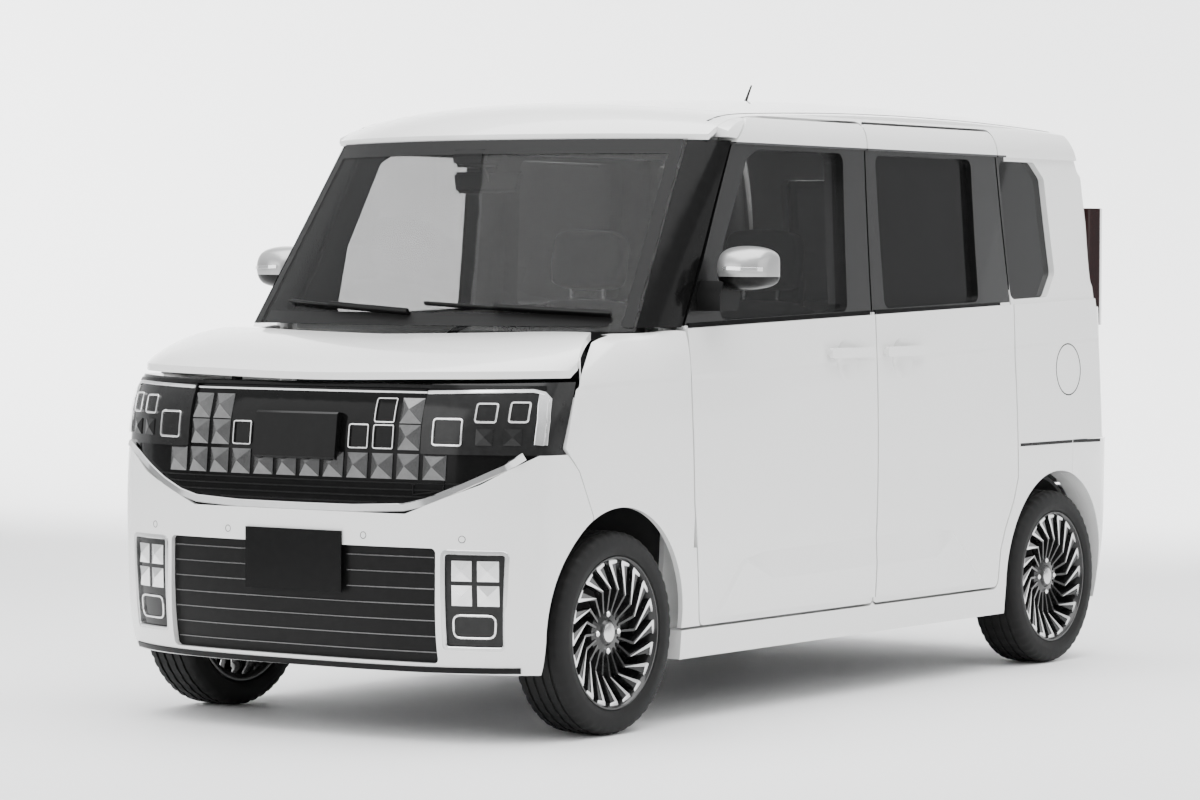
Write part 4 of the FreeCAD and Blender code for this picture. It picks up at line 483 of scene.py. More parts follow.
def rounded_loop(points, radius, steps=4):
    """A closed polyline of pairs with rounded corners."""
    result = []
    count = len(points)
    for index in range(count):
        before = Vector(points[index - 1])
        corner = Vector(points[index])
        after = Vector(points[(index + 1) % count])
        back = before - corner
        ahead = after - corner
        cut = min(radius, back.length * 0.45, ahead.length * 0.45)
        start = corner + back.normalized() * cut
        end = corner + ahead.normalized() * cut
        for step in range(steps + 1):
            share = step / steps
            rest = 1 - share
            result.append(tuple(start * rest ** 2 + corner * 2 * share * rest + end * share ** 2))
    return result


def line_places(points, step, closed=False):
    line = smooth_line(points + points[:1] if closed else points, step)
    return line[:-1] if closed else line


def front_bar(name, points, width, height, material, step=0.03):
    path = [on_front(x, z) for x, z in line_places(points, step)]
    return add_piece(name, sweep(path, bar_profile(width, height)), material, "root", True)


def tube_faces(rows, size):
    """Faces of a closed skin over rows of places, with a cap at each end."""
    faces = [list(range(size))[::-1], [(rows - 1) * size + k for k in range(size)]]
    for row in range(rows - 1):
        for k in range(size):
            other = (k + 1) % size
            faces.append([row * size + k, row * size + other, (row + 1) * size + other,
                          (row + 1) * size + k])
    return faces


def tube(rows):
    return [place for row in rows for place in row], tube_faces(len(rows), len(rows[0]))


def octagon(place, radius):
    angles = [a * math.pi / 4 for a in range(8)]
    return [place + Vector((radius * math.cos(a), radius * math.sin(a), 0)) for a in angles]


def both(points):
    return points + [(-x, z) for x, z in points[::-1]]


def on_hand(points, hand):
    return [(x * hand, z) for x, z in points]


def circle(y, z, radius, count=32):
    angles = [2 * math.pi * k / count for k in range(count)]
    return [(y + radius * math.cos(angle), z + radius * math.sin(angle)) for angle in angles]


# Wheels

BLADE_COUNT = 20


def wheel_basis(hand, axle_y):
    """From (outward, along, up) about a wheel's centre to the car's frame."""
    return lambda out, angle, radius: Vector((hand * (WHEEL_X + out), axle_y + math.sin(angle) * radius,
                                              TYRE_RADIUS + math.cos(angle) * radius))


def tyre_section():
    half = TYRE_WIDTH / 2
    return [(half * 0.78, 0.2035), (half * 0.93, 0.212), (half * 0.985, 0.226), (half * 0.992, 0.236),
            (half * 0.975, 0.243), (half * 0.965, 0.256), (half * 0.91, 0.266), (half * 0.80, 0.2725),
            (half * 0.74, 0.2738)]


def ring_faces(segments, size):
    faces = []
    for index in range(segments):
        following = (index + 1) % segments
        for step in range(size):
            other = (step + 1) % size
            faces.append([index * size + step, following * size + step, following * size + other,
                          index * size + other])
    return faces


def make_tyre(name, hand, axle_y, body):
    """A tyre with ribbed shoulders, four grooves round it and blocks across."""
    segments = 144
    groove = 0.0055
    outer = tyre_section()
    tread = []
    half = TYRE_WIDTH / 2
    for centre in (-0.52, -0.18, 0.18, 0.52):
        for offset, depth in ((-0.055, 0), (-0.045, groove), (0.045, groove), (0.055, 0)):
            u = (centre + offset) * half
            tread.append((u, TYRE_RADIUS - 0.0008 - 0.004 * abs(u / half) ** 3 - depth, depth == 0))
    section = [(a, b, False) for a, b in outer] + [(a, b, c) for a, b, c in tread[::-1]]
    section += [(-a, b, False) for a, b in outer[::-1]]
    place = wheel_basis(hand, axle_y)
    verts = []
    for index in range(segments):
        angle = 2 * math.pi * index / segments
        for out, radius, block in section:
            shoulder = abs(out) > half * 0.7 and radius > 0.262
            notch = 0.004 if shoulder and index % 3 == 0 else 0
            sipe = 0.0025 if block and index % 4 == 0 else 0
            verts.append(place(out, angle, radius - notch - sipe))
    item = add_piece(name, (verts, ring_faces(segments, len(section))), RUBBER, body, True)
    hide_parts("tyre_" + name.split("_", 1)[1])


def ring(place, profile, segments=72):
    verts = []
    for index in range(segments):
        angle = 2 * math.pi * index / segments
        verts += [place(out, angle, radius) for out, radius in profile]
    return verts, ring_faces(segments, len(profile))


def slab_between(place, rows, front, back):
    """A plate over a polygon of (angle, radius) corners with a front depth for each."""
    count = len(rows)
    verts = [place(front + lift, angle, radius) for angle, radius, lift in rows]
    verts += [place(back, angle, radius) for angle, radius, lift in rows]
    faces = [list(range(count)), [count + index for index in range(count)][::-1]]
    for index in range(count):
        other = (index + 1) % count
        faces.append([index, other, count + other, count + index])
    return verts, faces


def make_wheel(name, hand, axle_y, body):
    place = wheel_basis(hand, axle_y)
    face = 0.064
    barrel = [(0.074, 0.207), (0.074, 0.2025), (0.066, 0.196), (0.03, 0.188), (-0.03, 0.184), (-0.07, 0.187),
              (-0.074, 0.2), (-0.074, 0.207), (-0.068, 0.2068), (-0.066, 0.2027), (-0.05, 0.2025),
              (-0.045, 0.192), (0.045, 0.192), (0.05, 0.2025), (0.066, 0.2027), (0.068, 0.2068)]
    parts = [ring(place, barrel)]
    hub = [(0.052, 0.0), (0.052, 0.03), (0.046, 0.036), (0.042, 0.07), (0.03, 0.075), (0.022, 0.06),
           (0.022, 0.0145), (0.03, 0.0145), (0.03, 0.0)]
    parts.append(ring(place, hub, 40))
    pitch = 2 * math.pi / BLADE_COUNT
    tips = []
    knee = 0.118
    for index in range(BLADE_COUNT):
        inner = pitch * index
        outer = inner - hand * pitch * 1.15
        spoke = [(inner - pitch * 0.16, 0.055, -0.018), (inner + pitch * 0.16, 0.055, -0.018),
                 (inner + pitch * 0.10, knee, -0.008), (inner - pitch * 0.10, knee, -0.008)]
        parts.append(slab_between(place, spoke, face, 0.03))
        blade = [(inner - pitch * 0.10, knee - 0.002, -0.008), (inner + pitch * 0.10, knee - 0.002, -0.008),
                 (outer + pitch * 0.25, 0.199, 0.002), (outer - pitch * 0.25, 0.199, 0.002)]
        parts.append(slab_between(place, blade, face, 0.036))
        wide = pitch * 0.40
        tip = [(inner - pitch * 0.012 * hand, knee + 0.002, 0),
               (inner + pitch * 0.05 * hand, knee + 0.002, 0),
               (outer + (pitch * 0.02) * hand, 0.186, 0.0085), (outer + wide * hand, 0.190, 0.009),
               (outer + wide * hand, 0.1975, 0.009), (outer - pitch * 0.22 * hand, 0.1975, 0.0095),
               (outer - pitch * 0.20 * hand, 0.188, 0.0085)]
        tips.append(slab_between(place, tip, face - 0.0062, face - 0.01))
    item = add_piece(name, join(parts), ALLOY_BLACK, body, True)
    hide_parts("rim_" + name.split("_", 1)[1])
    add_piece("machined_" + name, join(tips), MACHINED, body, False)
    cap = [(0.0555, 0.0), (0.055, 0.02), (0.0535, 0.0255), (0.050, 0.0265), (0.050, 0.0)]
    add_piece("cap_" + name, ring(place, cap, 40), SATIN_CHROME, body, True)
    nuts = []
    for index in range(4):
        around = math.pi / 2 * index
        centre = place(0, around, 0.05)
        offset = centre - place(0, 0, 0)
        profile = [(0.040, 0.0), (0.040, 0.0085), (0.05, 0.0085), (0.053, 0.0051), (0.053, 0.0)]
        nut_verts, nut_faces = ring(place, profile, 6)
        nuts.append(([v + offset for v in nut_verts], nut_faces))
    add_piece("nuts_" + name, join(nuts), CHROME, body, False)


for place_name, axle in (("front", FRONT_AXLE_Y), ("rear", REAR_AXLE_Y)):
    for side_name, hand_sign in (("left", 1), ("right", -1)):
        title = place_name + "_" + side_name
        make_tyre("tread_" + title, hand_sign, axle, "wheel_" + title)
        make_wheel("wheel_" + title, hand_sign, axle, "wheel_" + title)


# Nose

U_LINE = [(0.722, 0.782), (0.69, 0.753), (0.64, 0.722), (0.575, 0.690), (0.50, 0.655), (0.43, 0.628),
          (0.363, 0.613), (0.20, 0.606), (0.0, 0.605)]


def pyramid(x, z, half, height):
    """A four sided pyramid that stands on the nose."""
    corners = [on_front(x + a * half, z + b * half)[0] for a, b in ((-1, -1), (1, -1), (1, 1), (-1, 1))]
    place = sum(corners, Vector()) / 4
    normal = (corners[1] - corners[0]).cross(corners[3] - corners[0]).normalized()
    normal = normal if normal.y < 0 else -normal
    verts = [c - normal * 0.002 for c in corners]
    verts += [c + normal * 0.003 for c in corners]
    verts.append(place + normal * height)
    faces = [[0, 1, 2, 3]]
    for index in range(4):
        other = (index + 1) % 4
        faces.append([index, other, 4 + other, 4 + index])
        faces.append([4 + index, 4 + other, 8])
    return verts, faces


def square_loop(x, z, half, radius):
    corners = [(x - half, z - half), (x + half, z - half), (x + half, z + half), (x - half, z + half)]
    return rounded_loop(corners, radius)


def frame_loop(points, width, height, step=0.012):
    path = [on_front(x, z) for x, z in line_places(points, step, True)]
    return sweep(path, bar_profile(width, height), True)


U_HALF = 0.692
U_RISE = 0.013
SLAT_ROOM = 0.027


def slat_half(z):
    """How far a slat runs out before it meets the chrome U."""
    level = z - SLAT_ROOM
    for (outer_x, outer_z), (inner_x, inner_z) in zip(U_LINE, U_LINE[1:]):
        if inner_z <= level <= outer_z:
            return inner_x + (outer_x - inner_x) * (level - inner_z) / (outer_z - inner_z)
    return U_LINE[0][0]


def panel_path(line):
    return [hit for hit in (on_panel(x, z) for x, z in line) if hit]


def make_nose():
    line = smooth_line(both([(x * 0.982, z + U_RISE) for x, z in U_LINE]), 0.015)
    path = panel_path([(x, z) for x, z in line if abs(x) < U_HALF])
    smoothed = []
    for index, (place, normal) in enumerate(path):
        near = path[max(index - 3, 0):index + 4]
        mean = sum((n for _, n in near), Vector()).normalized()
        depth = sum(p.y for p, _ in near) / len(near)
        smoothed.append((Vector((place.x, depth, place.z)), mean))
    add_piece("chrome_u", sweep(smoothed, bar_profile(0.021, 0.012, 0.004)), CHROME, smooth=True)
    front_bar("centre_panel", [(-0.139, 0.8075), (0.139, 0.8075)], 0.128, 0.0225, GLOSS_BLACK)
    front_bar("chrome_top_line", [(0.394, 0.9285), (-0.394, 0.9285)], 0.006, 0.004, CHROME)
    front_bar("black_top_strip", [(0.70, 0.944), (-0.70, 0.944)], 0.012, 0.003, GLOSS_BLACK, step=0.02)
    cells = []
    for x in range(-11, 12, 2):
        cells.append(pyramid(x * 0.04, 0.733, 0.0335, 0.0225))
    for z in (0.810, 0.880):
        for x in (-0.28, -0.36, 0.36):
            cells.append(pyramid(x, z, 0.0335, 0.0225))
    add_piece("grille_pyramids", join(cells), plain("grille_silver", grey(0.10), grey(0.17), 0.2, 0.8))
    frames = []
    for x, z in ((-0.20, 0.810), (0.20, 0.810), (0.28, 0.810), (0.28, 0.880)):
        frames.append(frame_loop(square_loop(x, z, 0.031, 0.006), 0.004, 0.006))
    add_piece("open_cell_frames", join(frames), SATIN_CHROME)
    rows = []
    for z in (0.690, 0.672, 0.654, 0.636):
        line = smooth_line([(-slat_half(z), z), (slat_half(z), z)], 0.05)
        rows.append(sweep(panel_path(line), bar_profile(0.004, 0.003)))
    add_piece("upper_slats", join(rows), SATIN_BLACK)
    radar = rounded_loop([(0.380, 0.660), (0.468, 0.672), (0.470, 0.696), (0.380, 0.688)], 0.005)
    add_piece("radar_frame", sweep(panel_path(line_places(radar, 0.012, True)), bar_profile(0.003, 0.004),
                                   True), SATIN_BLACK)


def make_headlamp_detail(hand):
    name = side_word(hand)
    guide = [(0.402, 0.929), (0.55, 0.933), (0.675, 0.936), (0.700, 0.930), (0.713, 0.915), (0.717, 0.86),
             (0.716, 0.795)]
    line = smooth_line(on_hand(guide, hand), 0.012)
    add_piece("lamp_guide_" + name, sweep([on_front(x, z) for x, z in line], bar_profile(0.010, 0.005)),
              LAMP_BRIGHT, smooth=True)
    upright = smooth_line([(hand * 0.700, 0.925), (hand * 0.706, 0.86), (hand * 0.704, 0.795)], 0.012)
    add_piece("lamp_upright_" + name, sweep([on_front(x, z) for x, z in upright], bar_profile(0.026, 0.006)),
              LAMP_BRIGHT, smooth=True)
    loops = []
    for low, high, radius in (((0.436, 0.792), (0.516, 0.861), 0.008),
                              ((0.549, 0.854), (0.602, 0.902), 0.007),
                              ((0.633, 0.855), (0.677, 0.906), 0.007)):
        corners = [(low[0], low[1]), (high[0], low[1]), (high[0], high[1]), (low[0], high[1])]
        loops.append(frame_loop(on_hand(rounded_loop(corners, radius), hand), 0.005, 0.006))
    add_piece("lamp_frames_" + name, join(loops), LAMP_BRIGHT, smooth=True)
    cells = [pyramid(hand * x, 0.815, 0.022, 0.008) for x in (0.576, 0.645)]
    add_piece("lamp_cells_" + name, join(cells), LAMP_DARK)


def make_fog_detail(hand):
    name = side_word(hand)
    outline = [(0.474, 0.256), (0.628, 0.256), (0.640, 0.512), (0.474, 0.512)]
    loop = on_hand(rounded_loop(outline, 0.015), hand)
    add_piece("fog_bezel_" + name, frame_loop(loop, 0.013, 0.010, 0.02), SATIN_CHROME, smooth=True)
    cells = []
    for z in (0.462, 0.397):
        for x in (0.524, 0.592):
            cells.append(pyramid(x * hand, z, 0.027, 0.014))
    add_piece("fog_pyramids_" + name, join(cells), LAMP_BRIGHT)
    lamp = rounded_loop([(0.50, 0.285), (0.605, 0.285), (0.61, 0.345), (0.50, 0.345)], 0.02)
    add_piece("fog_frame_" + name, frame_loop(on_hand(lamp, hand), 0.006, 0.006), LAMP_BRIGHT,
              smooth=True)


def make_lower_grille_lines():
    rows = []
    for z in (0.243, 0.285, 0.327, 0.369, 0.411, 0.453, 0.495):
        spans = [(-0.445, 0.445)] if z < 0.385 else [(-0.445, -0.172), (0.172, 0.445)]
        for low, high in spans:
            line = smooth_line([(low, z), (high, z)], 0.05)
            rows.append(sweep([on_front(x, z_) for x, z_ in line], bar_profile(0.0038, 0.004)))
    add_piece("lower_grille_lines", join(rows), GRILLE_LINE)


def make_sensors():
    rings = []
    for x, z in ((0.233, 0.548), (0.529, 0.546), (-0.233, 0.548), (-0.529, 0.546)):
        rings.append(frame_loop(circle(x, z, 0.009, 16), 0.0016, 0.0006, 0.02))
    add_piece("parking_sensors", join(rings), SHUT_LINE)


make_nose()
for hand_sign in (1, -1):
    make_headlamp_detail(hand_sign)
    make_fog_detail(hand_sign)
make_lower_grille_lines()
make_sensors()


# Side, roof and rear

def on_skin(y, z, hand):
    """The outermost surface near a place in the side view, so that a shut line is bridged."""
    hits = [on_side(y + shift, z, hand) for shift in (-0.007, 0.0, 0.007)]
    best = max(hits, key=lambda hit: hit[0].x * hand)
    return Vector((best[0].x, y, z)), Vector((hand, 0, best[1].z)).normalized()


THIN_SINK = 0.0015


def side_bar(name, points, width, height, material, hand, step=0.04, closed=False):
    path = [on_skin(y, z, hand) for y, z in line_places(points, step, closed)]
    shape = sweep(path, bar_profile(width, height, THIN_SINK), closed)
    return add_piece(name, shape, material, "root", True)


def rounded_block(name, centre, size, radius, material, turn=0.0):
    """A small housing with rounded edges."""
    tool = bmesh.new()
    bmesh.ops.create_cube(tool, size=1.0)
    for vert in tool.verts:
        taper = 1.0 - 0.12 * (vert.co.z < 0)
        vert.co = Vector((vert.co.x * size[0] * taper, vert.co.y * size[1], vert.co.z * size[2]))
    bmesh.ops.bevel(tool, geom=list(tool.edges), offset=radius, segments=3, affect="EDGES")
    spin = Matrix.Rotation(turn, 3, "X")
    verts = [spin @ v.co + Vector(centre) for v in tool.verts]
    tool.verts.index_update()
    faces = [[v.index for v in face.verts] for face in tool.faces]
    tool.free()
    return add_piece(name, (verts, faces), material, "root", True)


MIRROR_Y = -0.728
MIRROR_Z = 1.262
MIRROR_OUTLINE = [(-1.0, -0.25), (-0.72, -0.86), (-0.1, -1.0), (0.9, -0.92), (1.0, -0.75), (1.0, 0.70),
                  (0.88, 0.92), (0.1, 1.0), (-0.66, 0.80), (-0.95, 0.30)]
MIRROR_STATIONS = ((0.748, 0.50), (0.752, 0.72), (0.770, 0.93), (0.815, 1.0), (0.858, 0.95),
                   (0.886, 0.82), (0.898, 0.62), (0.900, 0.40))


def make_mirror_shell(hand):
    """The mirror's housing with a rounded skin; its lower part and its foot are black."""
    name = side_word(hand)
    rows = []
    for x, size in MIRROR_STATIONS:
        middle = MIRROR_Y + 0.0576 * (1 - size)
        rows.append([Vector((hand * x, middle + 0.071 * a * size, MIRROR_Z + 0.0655 * b * size))
                     for a, b in MIRROR_OUTLINE])
    item = add_piece("mirror_shell_" + name, tube(rows), MIRROR_TWO_TONE, "front_door_" + name, True)
    item.modifiers.clear()
    finer = item.modifiers.new("finer", "SUBSURF")
    finer.levels = 2
    finer.render_levels = 2
    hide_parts("mirror_" + name)
    outline = ((-0.795, 1.143), (-0.705, 1.143), (-0.690, 1.185), (-0.700, 1.222), (-0.775, 1.226),
               (-0.795, 1.19))
    foot = tube([[Vector((hand * x, y, z)) for y, z in outline] for x in (0.708, 0.785)])
    item = add_piece("mirror_foot_" + name, foot, SATIN_BLACK, "front_door_" + name, True)
    rounding = item.modifiers.new("round", "BEVEL")
    rounding.width = 0.008
    rounding.segments = 3


def make_hood_seal(hand):
    """The strip in the seam between hood and fender, just under their surfaces."""
    name = side_word(hand)
    fender = tree_of("fender_" + name)
    hood = tree_of("hood")
    ends = Vector((hand * 0.7285, -1.396, 0)), Vector((hand * 0.6650, -1.2535, 0))
    outward = Vector((hand * 0.914, 0.404, 0))
    path = []
    for index in range(16):
        place = ends[0].lerp(ends[1], index / 15)
        levels = []
        for tree, shift in ((fender, 0.010), (hood, -0.010)):
            spot = place + outward * shift
            hit = tree_hit(tree, (spot.x, spot.y, START_Z), DOWNWARD)
            if hit and hit[0].z > 0.95:
                levels.append(hit[0].z)
        if levels:
            path.append((Vector((place.x, place.y, min(levels) - 0.012)), Vector((0, 0, 1))))
    add_piece("hood_seal_" + name, sweep(path, bar_profile(0.0034, 0.009, 0.012)), WHITE, "root", False)


def make_roof_lines():
    for hand in (1, -1):
        path = []
        for index in range(40):
            y = -0.60 + 2.03 * index / 39
            hit = tree_hit(ROOF_TREE, (hand * 0.615, y, START_Z), DOWNWARD)
            if hit:
                path.append(hit)
        seam = sweep(path, bar_profile(0.007, 0.0008))
        add_piece("roof_seam_" + side_word(hand), seam, SHUT_LINE, "root", True)


def make_side_lines(hand):
    name = side_word(hand)
    side_bar("belt_strip_front_" + name, [(-0.850, 1.1025), (0.135, 1.131)], 0.013, 0.004, GLOSS_BLACK, hand)
    side_bar("belt_strip_rear_" + name, [(0.165, 1.132), (0.935, 1.151)], 0.013, 0.004, GLOSS_BLACK, hand)
    slot = [(1.03, 0.708), (1.20, 0.708), (1.36, 0.708), (1.585, 0.705)]
    side_bar("rear_slot_" + name, slot, 0.010, 0.0008, SHUT_LINE, hand)
    if hand > 0:
        side_bar("fuel_door_line", circle(1.354, 0.940, 0.082), 0.004, 0.0005, SHUT_LINE, hand,
                 0.05, True)


def make_shield_trim():
    """The black printed border inside the edge of the windshield."""
    edges = []
    for index in range(26):
        z = 1.098 + (1.618 - 1.098) * index / 25
        x = 0.70
        while x > 0.4 and not on_shield(x, z):
            x -= 0.004
        edges.append((x, z))
    for hand in (1, -1):
        outer = [on_shield(hand * (x - 0.003), z) for x, z in edges]
        inner = [on_shield(hand * (x - 0.034), z) for x, z in edges]
        strip("shield_border_" + side_word(hand), outer, inner)
    for name, low, high in (("bottom", 1.100, 1.135), ("top", 1.582, 1.6235)):
        outer = []
        inner = []
        for index in range(33):
            x = -0.60 + 1.20 * index / 32
            z = low if name == "bottom" else high
            step = 0.003 if name == "bottom" else -0.003
            while not on_shield(x, z):
                z += step
            outer.append(on_shield(x, z))
            inner.append(on_shield(x, high if name == "bottom" else low))
        strip("shield_border_" + name, outer, inner)


def strip(name, outer, inner):
    verts = []
    faces = []
    for lift in (-0.0003, 0.0008):
        for row in (outer, inner):
            verts += [place + normal * lift for place, normal in row]
    count = len(outer)
    for index in range(count - 1):
        for first, second in ((0, 1), (3, 2), (1, 3), (2, 0)):
            faces.append([first * count + index, first * count + index + 1, second * count + index + 1,
                          second * count + index])
    for end in (0, count - 1):
        faces.append([end, count + end, 3 * count + end, 2 * count + end])
    return add_piece(name, (verts, faces), MATT_BLACK, "root", True)


def make_wipers():
    parts = []
    for start, end, z in ((0.60, 0.06, 1.128), (0.02, -0.50, 1.130)):
        path = []
        for index in range(13):
            share = index / 12
            x = start + (end - start) * share
            hit = on_shield(x, z + 0.03 * share)
            if hit:
                path.append((hit[0] + hit[1] * 0.002, hit[1]))
        parts.append(sweep(path, bar_profile(0.008, 0.012, 0.001)))
        arm = [(place + normal * 0.013, normal) for place, normal in path[:8]]
        parts.append(sweep(arm, bar_profile(0.014, 0.009, 0.002)))
    add_piece("wipers", join(parts), SATIN_BLACK, "root", True)


def make_cabin_items():
    glass = on_shield(0, 1.555)[0]
    rounded_block("camera_housing", (0, glass.y + 0.060, 1.572), (0.13, 0.09, 0.05), 0.012, MATT_BLACK)
    rounded_block("inner_mirror", (0, glass.y + 0.115, 1.505), (0.25, 0.022, 0.062), 0.009, MATT_BLACK,
                  -0.15)
    stalk = [(Vector((0, glass.y + reach, z)), Vector((1, 0, 0)))
             for reach, z in ((0.07, 1.56), (0.10, 1.525), (0.112, 1.505))]
    add_piece("inner_mirror_stalk", sweep(stalk, bar_profile(0.014, 0.012, 0.002)), MATT_BLACK)


def make_mirror_detail(hand):
    name = side_word(hand)
    tree = tree_of("mirror_" + name)
    path = []
    for index in range(14):
        x = hand * (0.790 + 0.105 * index / 13)
        hit = tree_hit(tree, (x, -1.2, 1.262 - 0.004 * index / 13), (0, 1, 0))
        if hit:
            path.append(hit)
    add_piece("turn_strip_" + name, sweep(path, bar_profile(0.010, 0.002, 0.001)), LAMP_BRIGHT,
              "front_door_" + name, True)


ANTENNA_X = 0.0
ANTENNA_Y = 0.566
ANTENNA_LENGTH = 0.070


def make_antenna():
    base = tree_hit(ROOF_TREE, (ANTENNA_X, ANTENNA_Y, START_Z), DOWNWARD)[0]
    lean = Vector((0, 0.55, 0.85)).normalized()
    rows = []
    for share, radius in ((0, 0.007), (0.25, 0.0045), (0.5, 0.004), (0.75, 0.0035), (1.0, 0.003)):
        rows.append(octagon(base + lean * share * ANTENNA_LENGTH - Vector((0, 0, 0.004)), radius))
    add_piece("antenna", tube(rows), SATIN_BLACK, "root", True)


def rear_line(name, points, width, height, material, body, closed=False, step=0.04):
    path = [on_rear(x, z) for x, z in line_places(points, step, closed)]
    shape = sweep(path, bar_profile(width, height, THIN_SINK), closed)
    return add_piece(name, shape, material, body, True)


def make_rear_detail():
    rear_line("gate_garnish", [(-0.30, 0.905), (0.30, 0.905)], 0.050, 0.012, SATIN_CHROME, "tailgate")
    recess = rounded_loop([(-0.185, 0.700), (0.185, 0.700), (0.185, 0.880), (-0.185, 0.880)], 0.012)
    rear_line("gate_plate_recess", recess, 0.006, 0.003, SHUT_LINE, "tailgate", True, 0.05)
    rear_line("gate_wiper_blade", [(-0.02, 1.195), (0.30, 1.205)], 0.010, 0.014, SATIN_BLACK, "tailgate")
    rear_line("gate_wiper_arm", [(-0.01, 1.175), (0.16, 1.196)], 0.020, 0.020, SATIN_BLACK, "tailgate")
    rear_line("gate_high_lamp", [(-0.14, 1.655), (0.14, 1.655)], 0.016, 0.006, RED_LENS, "tailgate")
    glass = rounded_loop([(-0.452, 1.165), (0.452, 1.165), (0.435, 1.545), (-0.435, 1.545)], 0.03)
    rear_line("gate_glass_border", glass, 0.030, 0.001, MATT_BLACK, "tailgate", True, 0.05)
    for hand in (1, -1):
        name = side_word(hand)
        line = [(hand * 0.56, 0.415), (hand * 0.42, 0.400)]
        rear_line("rear_reflector_" + name, line, 0.030, 0.003, RED_LENS, "root")


def make_front_lip():
    points = [(-0.66, 0.200), (-0.40, 0.197), (0.0, 0.196), (0.40, 0.197), (0.66, 0.200)]
    front_bar("front_lip", points, 0.016, 0.004, SATIN_BLACK)


# Cushions

PAD_PRESSURE = 4.0
SWELL_FRAMES = 20


def start_pad(size, radius, crown):
    """A rounded, slightly crowned slab about its own centre."""
    tool = bmesh.new()
    bmesh.ops.create_cube(tool, size=1.0)
    bmesh.ops.subdivide_edges(tool, edges=list(tool.edges), cuts=5, use_grid_fill=True)
    for vert in tool.verts:
        u, v, w = (c * 2 for c in vert.co)
        pinch = 1.0 - 0.10 * abs(u) ** 3 * abs(v) ** 3
        swell = 1.0 + crown * (1 - u * u) * (1 - v * v)
        vert.co = Vector((u * size[0] / 2 * pinch, v * size[1] / 2 * pinch, w * size[2] / 2 * swell))
    mesh = bpy.data.meshes.new("pad_start")
    tool.to_mesh(mesh)
    tool.free()
    item = bpy.data.objects.new("pad_start", mesh)
    bpy.context.scene.collection.objects.link(item)
    rounding = item.modifiers.new("round", "BEVEL")
    rounding.width = radius
    rounding.segments = 3
    rounding.angle_limit = math.radians(50)
    return item


def baked(item):
    mesh = bpy.data.meshes.new_from_object(item.evaluated_get(bpy.context.evaluated_depsgraph_get()))
    item.modifiers.clear()
    item.data = mesh
    return mesh


def swollen(size, radius, crown, voxel, cap):
    """The pad's mesh after it has swelled as cloth."""
    item = start_pad(size, radius, crown)
    baked(item)
    remesh = item.modifiers.new("remesh", "REMESH")
    remesh.mode = "VOXEL"
    remesh.voxel_size = voxel
    mesh = baked(item)
    before = [v.co.copy() for v in mesh.vertices]
    cloth = item.modifiers.new("cloth", "CLOTH")
    cloth.settings.use_pressure = True
    cloth.settings.uniform_pressure_force = PAD_PRESSURE
    cloth.settings.quality = 4
    cloth.settings.effector_weights.gravity = 0.0
    cloth.point_cache.frame_start = 1
    cloth.point_cache.frame_end = SWELL_FRAMES
    for number in range(1, SWELL_FRAMES + 1):
        bpy.context.scene.frame_set(number)
    mesh = baked(item)
    bpy.context.scene.frame_set(1)
    for vert, old in zip(mesh.vertices, before):
        move = vert.co - old
        if move.length > cap:
            vert.co = old + move.normalized() * cap
    bpy.data.objects.remove(item)
    return mesh


SEAM_WIDTH = 0.011
SEAM_DEPTH = 0.008


def sewn(mesh, across, along):
    """Presses sewn channels into a pad: lines at some x and at some y."""
    for vert in mesh.vertices:
        steps = [vert.co.x - line for line in across] + [vert.co.y - line for line in along]
        depth = max(math.exp(-(step / SEAM_WIDTH) ** 2) for step in steps)
        if abs(vert.co.z) > 0.01:
            vert.co.z -= math.copysign(SEAM_DEPTH * depth, vert.co.z)
    return mesh


def place_pad(name, mesh, centre, turn):
    copy = mesh.copy()
    copy.name = name
    copy.transform(Matrix.Translation(centre) @ Matrix.Rotation(turn, 4, "X"))
    copy.materials.clear()
    copy.materials.append(FABRIC)
    copy.shade_smooth()
    item = bpy.data.objects.new(name, copy)
    bpy.context.scene.collection.objects.link(item)
    smooth = item.modifiers.new("finer", "SUBSURF")
    smooth.levels = 1
    smooth.render_levels = 1
    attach(item, "root")


SEAT_X = 0.32
BENCH_X = 0.262
FINE_VOXEL = 0.010


